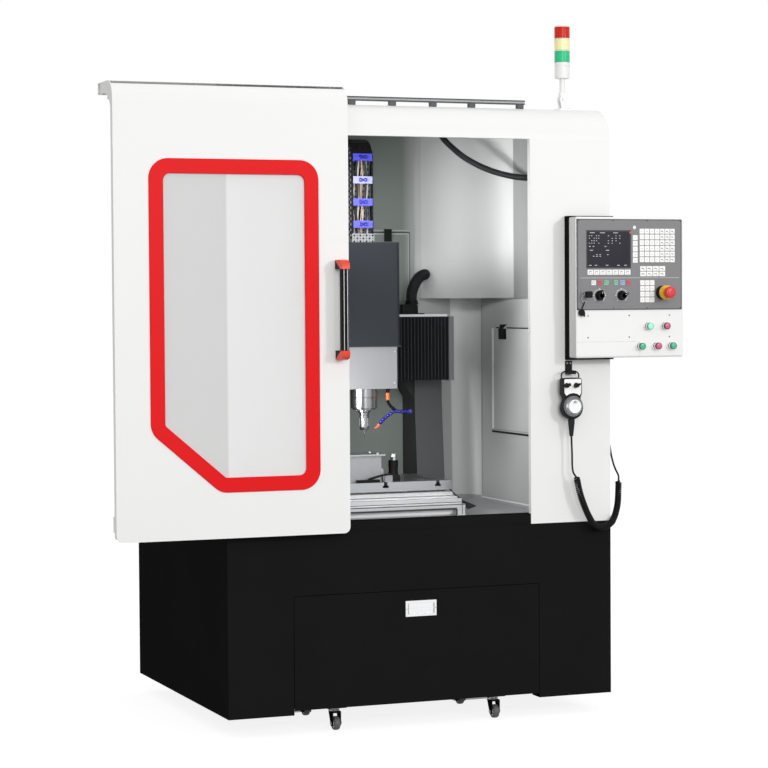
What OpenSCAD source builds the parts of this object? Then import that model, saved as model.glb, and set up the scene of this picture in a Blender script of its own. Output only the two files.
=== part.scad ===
// Floor-standing enclosed CNC engraving and milling machine.
// Millimetres, +Z up, +Y towards the rear. The origin lies on the floor, midway between the
// four levelling mounts. Setbacks are measured from the front face of the base.

/* [Base] */
// Width of the base and of the cabinet
body_w = 1500; // [1490:2:1520]
// Depth of the base and of the cabinet
body_d = 1160; // [1150:2:1200]
// Clearance under the skirt of the base
base_bottom = 71; // [60:1:75]
// Height of the seam between the base and the cabinet
base_top = 717; // [716:1:718]
// Sheet thickness of the base
base_sheet = 4; // [3:0.5:5]

/* [Cabinet] */
// Height of the roof
cabinet_top = 2250; // [2245:1:2255]
// Radius of the bend between front and roof
roof_r = 118; // [110:1:118]
// Sheet thickness of the cabinet
shell_t = 3; // [2:0.5:3]
// Left edge of the front opening
opening_left = -330; // [-335:1:-320]
// Right edge of the front opening
opening_right = 424; // [415:1:430]
// Top of the sill under the front opening
sill_top = 754; // [748:1:756]
// Top edge of the front opening
opening_top = 2132; // [2120:1:2132]

/* [Interior] */
// Half width of the working space
inner_half_w = 600; // [596:1:604]
// Setback of the rear wall of the working space
rear_wall = 950; // [946:1:954]
// Radius of the upright corners of the lining
corner_r = 100; // [80:5:110]
// Height of the splash tray
tray_z = 735; // [733:1:736]
// Lower edge of the curved hood
hood_bottom = 1549; // [1540:1:1580]

/* [Bed and gantry] */
// Inner face of the gantry columns
column_in = 296; // [294:1:300]
// Outer face of the gantry columns and ends of the beam
column_out = 413; // [410:1:416]
// Setback of the front of the columns under the beam
column_front = 820; // [812:1:824]
// Setback of the front of the columns at their foot
column_foot = 784; // [780:1:800]
// Underside of the beam
beam_bottom = 1240; // [1238:1:1242]
// Top of the beam
beam_top = 1478; // [1476:1:1480]

/* [Table] */
// Half width of the work table
table_half_w = 270; // [262:1:276]
// Length of the work table
table_len = 380; // [370:1:384]
// Height of the table surface
table_top = 857; // [856:1:860]
// Number of T-slots
slot_count = 3; // [2:1:5]

/* [Head] */
// Sideways place of the spindle
head_x = -61; // [-70:1:-50]
// Setback of the spindle axis
spindle_back = 450; // [448:1:452]
// Radius of the ball screws
screw_r = 10; // [9:0.5:10]
// Radial play of a ball screw in its nut
screw_play = 0.06; // [0.02:0.01:0.1]

/* [Door] */
// Left edge of the sliding door, shown open
door_left = -1164; // [-1170:1:-1160]
// Width of the sliding door
door_w = 854; // [850:1:858]
// Setback of the door's front face, in front of the base
door_front = -60; // [-64:1:-56]
// Height of the door's top
door_top = 2303; // [2301:1:2304]
// Height of the door's lower edge
door_bottom = 719; // [718:1:724]
// Width of the coloured band round the window
band_w = 52; // [44:1:56]

/* [Controls] */
// Left edge of the control box
box_left = 564; // [560:1:568]
// Width of the control box
box_w = 440; // [436:1:446]
// Underside of the control box
box_bottom = 1327; // [1325:1:1330]
// Height of the control box
box_h = 518; // [512:1:520]

/* [Coolant cart] */
// Left side of the cart
cart_left = -503; // [-510:1:-500]
// Right side of the cart
cart_right = 454; // [450:1:460]
// Lower edge of the cart's front
cart_bottom = 87; // [86:1:88]
// Top edge of the cart's front
cart_top = 494; // [490:1:500]
// Radius of the castor wheels
wheel_r = 25; // [24:0.5:25]

/* [Signal tower] */
// Sideways place of the tower
tower_x = 629; // [615:1:640]
// Radius of the lamps
lamp_r = 29; // [26:1:30]

/* [Hidden] */

white_paint = "#f1f1f0";
black_paint = "#17181a";
lining_grey = "#b9bbba";
casting_grey = "#4c4d50";
steel = "#c4c6c8";
slate = "#3a3e47";
signal_red = "#e72a2a";

half_w = body_w / 2;
foot_front = 485;
foot_rear = 1015;
foot_x = 360;
anchor_x = 405;
anchor_r = 9;
pad_t = 14;
front_y = -(foot_front + foot_rear) / 2;
roof_lap = 2 * roof_r + 4;
bed_bottom = 110;
bed_shelf = 700;
rail_top = 792;
beam_front = 770;
column_rear = 1060;
bellows_front = 690;
bellows_depth = 20;
bellows_end = 389;
plate_top = beam_top + 9;
table_front = 385;
table_t = 35;
x_screw_z = 1360;
x_screw_back = 745;
y_screw_z = 764;
bearing_top = 786;
way_top = 772;
z_screw_back = 598;
block_bottom = 1211;
block_top = 1371;
door_depth = 27;
door_right = door_left + door_w;
door_bend = 65;
flange_back = 130;
rail_back = 115;
rail_z = 2281;
lens_z = 2430;
lens_pitch = 45;
box_front = -100;
frame_back = -39;
plate_front = -104;
pendant_x = 569;
pendant_front = -60;
gland_z = 1018;
wheel_x = 568;
wheel_z = 1150;
castor_x = [-333, 292];
castor_back = 62;
castor_trail = 17;
rear_castor_back = 370;
button_r = 10.5;
tower_back = 150;
tower_pivot = 2292;

// Routes of the cords: sideways place, setback and height
lead_route = [[569, -42, 1038], [570, -42, 1010], [571, -43, 970], [571, -44, 932],
    [572, -47, 911], [576, -49, 899], [583, -50, 890]];
coil_route = [[583, -50, 890], [589, -50, 872], [595, -50, 844], [605, -50, 810],
    [621, -49, 771], [640, -46, 735], [660, -43, 708], [684, -41, 696], [717, -38, 701],
    [742, -26, 713], [752, -18, 721], [771, -2, 745], [786, 12, 777], [796, 26, 814],
    [800, 32, 864]];
tail_route = [[800, 32, 864], [804, 38, 875], [807, 52, 886], [808, 72, 901], [808, 91, 924],
    [808, 106, 951], [808, 117, 980], [805, 120, 1000], [796, 120, 1013], [780, 120, 1018]];
conduit_route = [[364, 735, 2244], [364, 732, 2225], [370, 690, 2178], [392, 640, 2135],
    [414, 590, 2100], [438, 545, 2074], [462, 500, 2052], [495, 440, 2030], [531, 385, 2015],
    [560, 335, 2008], [578, 300, 2004]];
hose_route = [[290, 831, 1528], [291, 834, 1548], [300, 850, 1576], [320, 868, 1608],
    [345, 886, 1633], [371, 900, 1645], [384, 918, 1645]];
feed_route = [[26, 425, 1166], [27, 425, 1152], [40, 427, 1140], [63, 431, 1128],
    [90, 435, 1124], [112, 436, 1122]];
nozzle_route = [[112, 418, 1120], [88, 418, 1118], [66, 420, 1113], [39, 423, 1102],
    [18, 427, 1087], [-6, 432, 1068]];

// A block between two sideways places, two setbacks and two heights
module slab(x0, x1, d0, d1, z0, z1)
    translate([x0, front_y + d0, z0]) cube([x1 - x0, d1 - d0, z1 - z0]);

// A cylinder along Z, along Y (towards the rear) and along X
module post(x, d, z0, z1, r)
    translate([x, front_y + d, z0]) cylinder(r = r, h = z1 - z0, $fn = 48);
module spigot(x, z, d0, d1, r, r_back = undef)
    translate([x, front_y + d0, z]) rotate([-90, 0, 0])
        cylinder(r1 = r, r2 = is_undef(r_back) ? r : r_back, h = d1 - d0, $fn = 48);
module axle(d, z, x0, x1, r)
    translate([x0, front_y + d, z]) rotate([0, 90, 0]) cylinder(r = r, h = x1 - x0, $fn = 48);

// An upright rectangular plate with four round corners
module rounded_plate(x0, x1, d0, d1, z0, z1, r) {
    slab(x0 + r, x1 - r, d0, d1, z0, z1);
    slab(x0, x1, d0, d1, z0 + r, z1 - r);
    for (x = [x0 + r, x1 - r], z = [z0 + r, z1 - r]) spigot(x, z, d0, d1, r);
}

// A point on a smooth curve through four neighbouring route points
function blend(a, b, c, d, t) = 0.5 * (2 * b + (c - a) * t
    + (2 * a - 5 * b + 4 * c - d) * t * t + (3 * b - a - 3 * c + d) * t * t * t);
function smooth(p, steps) = concat([for (i = [0 : len(p) - 2], s = [0 : steps - 1])
    blend(p[max(i - 1, 0)], p[i], p[i + 1], p[min(i + 2, len(p) - 1)], s / steps)],
    [p[len(p) - 1]]);
function unit(v) = v / norm(v);

// A round tube along a route
module tube(route, r, sides = 8, steps = 3) {
    line = [for (q = smooth(route, steps)) [q[0], front_y + q[1], q[2]]];
    last = len(line) - 1;
    across = [for (i = [0 : last]) unit(line[min(i + 1, last)] - line[max(i - 1, 0)])];
    side = [for (t = across) unit(cross([0, 1, 0], t))];
    points = [for (i = [0 : last], k = [0 : sides - 1])
        line[i] + r * (cos(360 * k / sides) * side[i]
            + sin(360 * k / sides) * cross(across[i], side[i]))];
    walls = [for (i = [0 : last - 1], k = [0 : sides - 1]) let (n = (k + 1) % sides)
        each [[i * sides + k, (i + 1) * sides + n, i * sides + n],
            [i * sides + k, (i + 1) * sides + k, (i + 1) * sides + n]]];
    lids = [[for (k = [0 : sides - 1]) k],
        [for (k = [sides - 1 : -1 : 0]) last * sides + k]];
    polyhedron(points, concat(walls, lids), convexity = 4);
}

// Base housing with the bay for the coolant cart, the sill and the ties to the bed
module base_shell() color(black_paint) {
    tie_h = 60;
    difference() {
        slab(-half_w, half_w, 0, body_d, base_bottom, base_top);
        slab(-half_w + base_sheet, half_w - base_sheet, base_sheet, body_d - base_sheet,
            base_bottom - 1, base_top - base_sheet);
        slab(cart_left - 2, cart_right + 2, -1, base_sheet + 1, base_bottom - 1, cart_top + 2);
        slab(-560, 560, 100, 1080, base_top - base_sheet - 1, base_top + 1);
    }
    slab(1 - inner_half_w, inner_half_w - 1, 4, 56, base_top, sill_top);
    for (x = [cart_left - 5, cart_right + 2])
        slab(x, x + 3, base_sheet, 65, base_bottom, cart_top);
    for (s = [-1, 1], d = [520, 960])
        slab(s > 0 ? column_out : -half_w + base_sheet, s > 0 ? half_w - base_sheet : -column_out,
            d, d + 60, bed_bottom, bed_bottom + tie_h);
}

// Four levelling mounts: a pad with an anchor hole, a stud and a hexagon nut
module levelling_mounts() color(steel)
    for (s = [-1, 1], d = [foot_front, foot_rear]) {
        difference() {
            slab(s * foot_x - (s > 0 ? 60 : 80), s * foot_x + (s > 0 ? 80 : 60), d - 45, d + 45,
                0, pad_t);
            post(s * anchor_x, d, -1, pad_t + 1, anchor_r);
        }
        post(s * foot_x, d, pad_t, bed_bottom, 10);
        difference() {
            translate([s * foot_x, front_y + d, 70]) cylinder(r = 17, h = 16, $fn = 6);
            post(s * foot_x, d, 69, 87, 10.2);
        }
    }

// Cast bed with the two table rails, the screw bearings and the table motor
module bed_casting() {
    color(casting_grey) {
        difference() {
            slab(-column_out, column_out, 440, column_rear, bed_bottom, bed_shelf);
            for (x = [-383, 15])
                slab(x, x + 368, 470, 1030, bed_bottom - 1, bed_shelf - 40);
        }
        for (s = [-1, 1], d = [foot_front, foot_rear])
            slab(s * foot_x - 40, s * foot_x + 40, d - 32, d + 32, bed_bottom, 220);
        slab(-250, 250, 290, 440, 560, bed_shelf);
        difference() {
            slab(-250, 250, 290, 960, bed_shelf, way_top);
            slab(-60, 60, 289, 961, 740, way_top + 1);
        }
    }
    color(steel) {
        for (x = [-200, 180]) slab(x, x + 20, 296, 945, way_top, rail_top);
        for (d = [292, 930]) difference() {
            slab(-50, 50, d, d + 30, 740, bearing_top);
            spigot(0, y_screw_z, d - 1, d + 31, screw_r + screw_play);
        }
    }
    color(black_paint) slab(-40, 40, 960, 1052, 724, 804);
}

// Gantry: two columns with haunches, the box beam, its rails, cover plate and sideways motor
module gantry() {
    haunch_z = beam_bottom - 90;
    color(casting_grey) {
        for (s = [-1, 1]) {
            translate([s > 0 ? column_in : -column_out, front_y, 0]) rotate([90, 0, 90])
                linear_extrude(column_out - column_in)
                    polygon([[column_foot, bed_shelf], [column_rear, bed_shelf],
                        [column_rear, beam_bottom], [column_front, beam_bottom],
                        [column_front, haunch_z]]);
            translate([0, front_y + 940, 0]) rotate([90, 0, 0]) linear_extrude(110)
                polygon([[s * column_in, beam_bottom], [s * (column_in - 56), beam_bottom],
                    [s * column_in, haunch_z]]);
        }
        difference() {
            slab(-column_out, column_out, beam_front, 1000, beam_bottom, beam_top);
            slab(-380, 380, beam_front + 30, 970, beam_bottom + 30, beam_top - 30);
        }
    }
    color(steel) {
        for (z = [1280, 1420]) slab(-395, 395, beam_front - 20, beam_front, z, z + 20);
        slab(-395, 395, 716, 1000, beam_top, plate_top);
        for (x = [-bellows_end - 22, bellows_end + 1]) difference() {
            slab(x, x + 21, bellows_front - 2, beam_front, 1226, beam_top);
            axle(x_screw_back, x_screw_z, x - 1, x + 22, screw_r + screw_play);
        }
    }
    color(black_paint) slab(-523, -column_out, 705, 785, 1320, 1400);
}

// Front of the cabinet as a solid that bends back into the roof, drawn in by an inset
module front_form(x0, x1, inset, back, bottom) {
    bend_z = cabinet_top - roof_r;
    slab(x0, x1, inset, back, bottom, bend_z);
    slab(x0, x1, roof_r, back, bend_z - 1, cabinet_top - inset);
    axle(roof_r, bend_z, x0, x1, roof_r - inset);
}

// Front sheet of the cabinet, bent back over the top edge, with the jambs of the opening
module cabinet_front() color(white_paint) {
    jamb_back = 20;
    difference() {
        front_form(-half_w, half_w, 0, roof_lap, base_top);
        front_form(-half_w - 1, half_w + 1, shell_t, roof_lap + 1, base_top - 1);
        slab(opening_left, opening_right, -1, shell_t + 1, base_top - 1, opening_top);
    }
    for (x = [opening_left - shell_t, opening_right])
        slab(x, x + shell_t, shell_t, jamb_back, sill_top, opening_top + shell_t);
    slab(opening_left, opening_right, shell_t / 2, jamb_back, opening_top, opening_top + shell_t);
}

// Side, rear and roof panels, with the hinge pins of the rear door and the mains inlet
module cabinet_panels() color(white_paint) {
    seam = 0.5;
    inside = cabinet_top - shell_t;
    w = half_w - shell_t - seam;
    for (x = [-half_w, half_w - shell_t]) difference() {
        union() {
            front_form(x, x + shell_t, shell_t, body_d, base_top);
            slab(x, x + shell_t, roof_lap, body_d, inside - 1, cabinet_top);
        }
        if (x > 0) axle(120, gland_z, x - 1, x + shell_t + 1, 8);
    }
    slab(-w, w, roof_lap, body_d, inside, cabinet_top);
    difference() {
        slab(-w, w, body_d - shell_t, body_d, base_top, inside - seam);
        slab(-350, 350, body_d - shell_t - 1, body_d + 1, 900, 1900);
        spigot(560, 800, body_d - shell_t - 1, body_d + 1, 12.5);
    }
    for (z = hinge_z) {
        slab(-398, -381, body_d, body_d + 10, z - 6, z);
        post(-386, body_d + 8, z - 6, z + 60, 3);
    }
}
hinge_z = [960, 1370, 1780];

// Upright room of the working space with round rear corners, drawn in by an inset
module room_form(inset, front, z0, z1) {
    w = inner_half_w - inset;
    rear = rear_wall - inset;
    cx = inner_half_w - corner_r;
    cd = rear_wall - corner_r;
    slab(-w, w, front, cd, z0, z1);
    slab(-cx, cx, front, rear, z0, z1);
    for (s = [-1, 1]) post(s * cx, cd, z0, z1, corner_r - inset);
}

// Lining of the working space, the curved hood and the two lift-off hatches with latches
module lining() {
    top = cabinet_top - shell_t;
    t = 3;
    w = inner_half_w;
    side = w - 10;
    rear = rear_wall - 10;
    color(lining_grey) {
        intersection() {
            difference() {
                room_form(-t, 4, base_top, top);
                room_form(0, 3, base_top - 1, top + 1);
                slab(-column_out, column_out, 900, 1000, base_top - 1, plate_top);
                slab(w - 1, w + t + 1, 350, 700, 1045, 1410);
                slab(-300, 300, rear_wall - 1, rear_wall + t + 1, 1560, 1795);
            }
            front_form(-w - t - 1, w + t + 1, shell_t + 1, rear_wall + 10, base_top - 1);
        }
        difference() {
            slab(-column_in, column_in, rear_wall, rear_wall + t, bed_shelf, beam_bottom);
            slab(-250, 250, rear_wall - 1, rear_wall + t + 1, bed_shelf - 1, way_top);
            slab(-50, 50, rear_wall - 1, rear_wall + t + 1, way_top - 1, bearing_top);
        }
        hood();
        slab(side, w - 1, 330, 720, 1023, 1429);
        slab(-345, 345, rear + 6, rear_wall - 1, 1522, 1825);
        slab(-325, 325, rear, rear + 6, 1540, 1812);
    }
    color(black_paint) {
        slab(side - 8, side, 584, 641, 1387, 1429);
        slab(side - 8, w - 1, 597, 628, 1429, 1445);
        for (s = [-1, 1]) slab(s * 232 - 15, s * 232 + 15, rear - 8, rear, 1779, 1828);
    }
}

// Curved sheet in the upper right rear corner, with its closing plate
module hood() {
    side = inner_half_w - 10;
    cx = side - hood_r;
    cd = 511;
    front = 130;
    top = cabinet_top - shell_t;
    intersection() {
        difference() {
            post(cx, cd, hood_bottom, top, hood_r + 3);
            post(cx, cd, hood_bottom - 1, top + 1, hood_r);
        }
        slab(cx, inner_half_w, cd, rear_wall - 1, hood_bottom, top);
    }
    slab(side, side + 3, front, cd, hood_bottom, top);
    difference() {
        intersection() {
            room_form(1, front, hood_bottom, hood_bottom + 3);
            slab(cx + 270, inner_half_w, front, rear_wall, hood_bottom, hood_bottom + 3);
        }
        slab(cx, side + 3, front - 1, cd, hood_bottom - 1, hood_bottom + 4);
        post(cx, cd, hood_bottom - 1, hood_bottom + 4, hood_r + 3);
    }
}
hood_r = 520;

// Splash tray round the bed with its upturned rim, the frame in front of the bed and the fixed
// way cover
module splash_tray() {
    front = 57;
    rim_z = tray_z + 18;
    color(lining_grey) difference() {
        room_form(2, front, base_top, rim_z);
        room_form(4, front + 2, base_top - 1, tray_z - 3);
        room_form(4, front + 2, tray_z, rim_z + 1);
        slab(-276, 276, 286, rear_wall, tray_z - 4, tray_z + 1);
        slab(-column_out - 3, column_out + 3, column_foot - 3, rear_wall, base_top - 1, rim_z + 1);
    }
    color(steel) {
        difference() {
            slab(-270, 270, 250, 285, tray_z, 777);
            slab(-234, 234, 249, 281, tray_z - 1, 763);
        }
        slab(-268, 268, 287, 410, 793, 795);
        slab(-268, 268, 285, 287, 765, 795);
    }
}

// Guide rail of the door on its stand-offs
module roof_rail() color(steel) {
    difference() {
        slab(-745, 455, rail_back - 8, rail_back + 8, rail_z - 16, rail_z);
        for (d = [rail_back - 9, rail_back + 5]) slab(-746, 456, d, d + 4, rail_z - 11, rail_z - 5);
    }
    for (x = [-700, -540, -385, -229, -72, 88, 242, 437])
        slab(x - 12, x + 12, rail_back - 10, rail_back + 10, cabinet_top, rail_z - 16);
}

// Dark spacer between the cabinet and the control box
module control_frame() color(black_paint)
    slab(box_left, half_w - 5, frame_back, 0, box_bottom - 7, box_bottom + box_h + 5);

// Control box: folded housing with an opening behind the controller
module control_box() color(white_paint) difference() {
    right = box_left + box_w;
    top = box_bottom + box_h;
    rounded_plate(box_left, right, box_front, frame_back, box_bottom, top, 12);
    slab(box_left + 12, right - 12, box_front + 3, frame_back - 3, box_bottom + 12, top - 12);
    slab(box_left + 20, right - 20, box_front - 1, box_front + 4, box_bottom + 196, top - 28);
}

// A block of keys: lower left corner, upper right corner, columns and rows
module key_block(x0, x1, z0, z1, columns, rows) {
    px = (x1 - x0) / columns;
    pz = (z1 - z0) / rows;
    for (i = [0 : columns - 1], k = [0 : rows - 1])
        slab(x0 + i * px + 1.5, x0 + (i + 1) * px - 1.5, plate_front - 2, plate_front,
            z0 + k * pz + 1.5, z0 + (k + 1) * pz - 1.5);
}

// Controller face plate with its key groups
module controller_panel() {
    color("#8f9193") difference() {
        slab(box_left, box_left + 433, plate_front, box_front, 1503, 1837);
        slab(606, 781, plate_front - 1, plate_front + 2, 1660, 1793);
    }
    color("#e9e9ea") {
        key_block(607, 783, 1632, 1653, 7, 1);
        key_block(793, 813, 1676, 1779, 1, 5);
        key_block(821, 968, 1679, 1803, 7, 6);
        key_block(823, 927, 1627, 1665, 4, 2);
        key_block(823, 882, 1530, 1613, 3, 4);
        for (x = [624, 649, 675, 713, 738, 764])
            slab(x, x + 18, plate_front - 2, plate_front, 1595, 1613);
    }
}

// Screen behind its bezel
module display() color("#2b3442") {
    slab(606.2, 780.8, plate_front - 0.5, plate_front + 2, 1660.2, 1792.8);
}

button_x = [857, 927, 824, 891, 953];
button_z = [1442, 1442, 1368, 1368, 1368];
knob_x = [655, 746];
knob_z = 1556;
key_x = 600;
estop_x = 912;
estop_z = 1566;

// A collar with a blind bore, open to the front
module collar(x, z, r_out, r_in, front, back, floor_t) difference() {
    spigot(x, z, front, back, r_out);
    spigot(x, z, front - 1, back - floor_t, r_in);
}

// Collars of the push buttons, dial plates, key barrel with spare key, emergency stop base
module panel_fittings() {
    color(steel) {
        for (i = [0 : 4])
            collar(button_x[i], button_z[i], 14, button_r + 0.3, box_front - 15, box_front, 0.5);
        collar(key_x, 1560, 11, 3, plate_front - 8, plate_front, 3);
        for (x = knob_x) spigot(x, knob_z, plate_front - 1, plate_front, 21);
    }
    color("#e8c21a") collar(estop_x, estop_z, 27, 9.3, plate_front - 46, plate_front - 30, 1);
    color(black_paint) {
        spigot(estop_x, estop_z, plate_front - 30, plate_front, 25);
        slab(key_x - 17, key_x - 15, plate_front - 9, plate_front - 5, 1500, 1553);
        slab(key_x - 26, key_x - 6, plate_front - 10, plate_front - 6, 1478, 1500);
        slab(key_x - 17, key_x - 5, plate_front - 7, plate_front - 5, 1549, 1553);
    }
}

// A sprung push button
module push_button(i, tint) color(tint)
    spigot(button_x[i], button_z[i], box_front - 21, box_front - 5, button_r);
module button_mint() push_button(0, "#9fdcc0");
module button_red_upper() push_button(1, "#c8323a");
module button_green_left() push_button(2, "#2f9c63");
module button_red_lower() push_button(3, "#c8323a");
module button_green_right() push_button(4, "#2f9c63");

// Mushroom head of the emergency stop on its stem
module estop_button() color(signal_red) {
    spigot(estop_x, estop_z, plate_front - 78, plate_front - 62, 20, 22);
    spigot(estop_x, estop_z, plate_front - 62, plate_front - 56, 22, 16);
    spigot(estop_x, estop_z, plate_front - 56, plate_front - 38, 9);
}

// An override knob with a pointer ridge
module override_knob(x) color(black_paint) {
    spigot(x, knob_z, plate_front - 5, plate_front - 1.3, 15);
    spigot(x, knob_z, plate_front - 20, plate_front - 5, 11, 13);
    slab(x - 2.5, x + 2.5, plate_front - 22, plate_front - 19, knob_z - 10, knob_z + 12);
}
module knob_left() override_knob(knob_x[0]);
module knob_right() override_knob(knob_x[1]);

// Key in the barrel
module switch_key() color(black_paint) {
    spigot(key_x, 1560, plate_front - 14, plate_front - 8.3, 5);
    spigot(key_x, 1560, plate_front - 9, plate_front - 3.5, 2.9);
    slab(key_x - 1.5, key_x + 1.5, plate_front - 34, plate_front - 14, 1550, 1570);
}

// Hook bracket of the hand pendant and the wire loop that hangs on it
module pendant_holder() {
    color(black_paint) difference() {
        slab(564, 591, -43, 0, 1266, 1315);
        slab(563, 592, -37, -4, 1276, 1316);
        slab(563, 592, -44, -36, 1286, 1316);
    }
    color(steel) difference() {
        slab(531, 607, -34, -30, 1254, 1280);
        slab(535, 603, -35, -29, 1253, 1276);
    }
}

// Hand pendant: upper block, waist and round lower part, label plate and two selector knobs
module pendant_body() {
    color(black_paint) {
        rounded_plate(528, 605, pendant_front, pendant_front + 34, 1190, 1254, 8);
        slab(537, 599, pendant_front, pendant_front + 34, 1143, 1192);
        spigot(569, 1143, pendant_front, pendant_front + 34, 41);
        for (x = [541, 580]) spigot(x, 1227, pendant_front - 16, pendant_front, 9);
    }
    color(steel) spigot(wheel_x, wheel_z, pendant_front - 3, pendant_front, 39);
}

// Pulse wheel of the pendant with its crank knob
module handwheel() color(steel) {
    spigot(wheel_x, wheel_z, pendant_front - 17, pendant_front - 3.3, 26, 32);
    spigot(wheel_x, wheel_z + 17, pendant_front - 29, pendant_front - 17, 5);
}

// Tapered strain relief under the pendant and the gland in the side of the cabinet
module cord_glands() color(black_paint) {
    post(pendant_x, -42, 1084, 1102, 12.5);
    translate([pendant_x, front_y - 42, 1038]) cylinder(r1 = 6, r2 = 12, h = 46, $fn = 32);
    axle(120, gland_z, half_w, half_w + 8, 14);
    translate([half_w + 8, front_y + 120, gland_z]) rotate([0, 90, 0])
        cylinder(r1 = 12, r2 = 6, h = 22, $fn = 32);
}

cord_r = 3.5;
coil_r = 13;
module pendant_lead() color(black_paint) tube(lead_route, cord_r);
module pendant_coil() color(black_paint) tube(coil_route, coil_r, 12, 2);
module pendant_tail() color(black_paint) tube(tail_route, cord_r);

// Foot and fork of the folding signal tower
module tower_bracket() color(steel) {
    slab(tower_x - 28, tower_x + 28, tower_back - 28, tower_back + 28, cabinet_top,
        cabinet_top + 5);
    difference() {
        for (d = [tower_back - 14, tower_back + 9])
            slab(tower_x - 12, tower_x + 12, d, d + 5, cabinet_top + 5, tower_pivot + 12);
        spigot(tower_x, tower_pivot, tower_back - 20, tower_back + 20, 4.05);
    }
}

// Folding mast with its pivot pin and the lamp base
module tower_mast() color(white_paint) {
    spigot(tower_x, tower_pivot, tower_back - 17, tower_back + 17, 4);
    slab(tower_x - 10, tower_x + 10, tower_back - 8, tower_back + 8, tower_pivot - 12,
        tower_pivot + 24);
    post(tower_x, tower_back, tower_pivot + 20, 2372, 12);
    post(tower_x, tower_back, 2370, lens_z, lamp_r - 2);
    for (i = [1 : 3])
        post(tower_x, tower_back, lens_z + i * lens_pitch - 3, lens_z + i * lens_pitch, lamp_r - 2);
    post(tower_x, tower_back, lens_z, lens_z + 3 * lens_pitch + 3, 8);
}

// Three lamp lenses, green, yellow and red from below
module tower_lenses() for (i = [0 : 2]) color(["#2f9d5a", "#e8c53a", "#d8402f"][i])
    difference() {
        z = lens_z + i * lens_pitch;
        post(tower_x, tower_back, z, z + lens_pitch - 3, lamp_r);
        post(tower_x, tower_back, z - 1, z + lens_pitch - 2, lamp_r - 3);
    }

// Corrugated conduit to the side wall, hose box on the beam and its hose
module interior_hoses() color(black_paint) {
    tube(conduit_route, 12, 10);
    tube(hose_route, 22, 12);
    slab(235, 308, 800, 862, plate_top, 1527);
    slab(228, 335, 800, 862, plate_top, plate_top + 4);
}

// One fold sheet of the bellows between two sideways places
module bellows(x0, x1, folds) {
    pitch = (x1 - x0) / folds;
    line = [for (i = [0 : 2 * folds]) [x0 + i * pitch / 2, i % 2 == 0 ? 2 : bellows_depth]];
    back = [for (i = [2 * folds : -1 : 0]) [line[i][0], line[i][1] + 2]];
    translate([0, front_y + bellows_front, 1229]) linear_extrude(beam_top - 1231)
        polygon(concat(line, back));
}
module beam_bellows() color("#1d2127") {
    bellows(head_x + 91, bellows_end, 25);
    bellows(-bellows_end, head_x - 91, 17);
}

// Sideways carriage: rear plate, runner blocks, screw nut, upright rails and lift motor
module x_carriage() {
    color(casting_grey) {
        slab(head_x - 90, head_x + 90, 640, 714, 1200, beam_top - 8);
        slab(head_x - 90, head_x + 90, 640, 660, beam_top - 8, 1740);
        slab(head_x - 50, head_x + 50, 640, 690, 1740, 1746);
        difference() {
            slab(head_x - 48, head_x + 48, 556, 640, 1630, 1642);
            post(head_x, z_screw_back, 1629, 1643, 14);
        }
    }
    color(steel) {
        for (z = [1268, 1408]) difference() {
            slab(head_x - 80, head_x + 80, 714, 765, z, z + 44);
            slab(head_x - 81, head_x + 81, 749.5, 771, z + 11.5, z + 32.5);
        }
        difference() {
            slab(head_x - 25, head_x + 25, 714, 765, 1335, 1385);
            axle(x_screw_back, x_screw_z, head_x - 26, head_x + 26, screw_r + screw_play);
        }
        for (x = [-60, 60]) slab(head_x + x - 10, head_x + x + 10, 620, 640, 1202, 1735);
        difference() {
            slab(head_x - 25, head_x + 25, 584, 640, 1204, 1214);
            post(head_x, z_screw_back, 1203, 1215, screw_r + screw_play);
        }
    }
    color(black_paint) slab(head_x - 40, head_x + 40, 558, 638, 1642, 1735);
}

// Slate cover over the spindle motor, round at its front edges
module cover_form(inset, back, z0, z1) {
    r = 15;
    w = 120 - inset;
    front = 370 + inset;
    slab(head_x - w + r, head_x + w - r, front, back, z0, z1);
    slab(head_x - w, head_x + w, front + r, back, z0, z1);
    for (s = [-1, 1]) post(head_x + s * (w - r), front + r, z0, z1, r);
}
module head_cover() color(slate) difference() {
    cover_form(0, 552, block_top, 1761);
    cover_form(3, 553, block_top - 1, 1758);
}

// Head casting with the slide plate, runner blocks and lift nut
module head_block() color(steel) {
    difference() {
        slab(head_x - 108, head_x + 108, 380, 560, block_bottom, block_top);
        post(head_x, spindle_back, block_bottom - 1, block_top + 1, 40.1);
    }
    slab(head_x - 85, head_x + 85, 560, 580, block_bottom, 1400);
    for (x = [-60, 60], z = [1255, 1345]) difference() {
        slab(head_x + x - 18, head_x + x + 18, 580, 635, z, z + 45);
        slab(head_x + x - 10.5, head_x + x + 10.5, 619.5, 636, z - 1, z + 46);
    }
    difference() {
        slab(head_x - 22, head_x + 22, 580, 616, 1308, 1338);
        post(head_x, z_screw_back, 1307, 1339, screw_r + screw_play);
    }
}

// Spindle cartridge with the flange under the head and the motor above it
module spindle_housing() color(steel) difference() {
    union() {
        post(head_x, spindle_back, 1130, 1136, 43.5);
        post(head_x, spindle_back, 1136, block_bottom, 50);
        post(head_x, spindle_back, block_bottom, block_top, 40);
        post(head_x, spindle_back, block_top, 1660, 60);
    }
    post(head_x, spindle_back, 1129, 1320, 20.05);
}

// Rotor: shaft, nose, collet nut and engraving tool
module spindle_rotor() color(steel) {
    post(head_x, spindle_back, 1128, 1318, 20);
    post(head_x, spindle_back, 1120, 1129, 26);
    post(head_x, spindle_back, 1054, 1120, 18.5);
    post(head_x, spindle_back, 1038, 1054, 3);
    translate([head_x, front_y + spindle_back, 1024]) cylinder(r1 = 0.4, r2 = 3, h = 14, $fn = 48);
}

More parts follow.
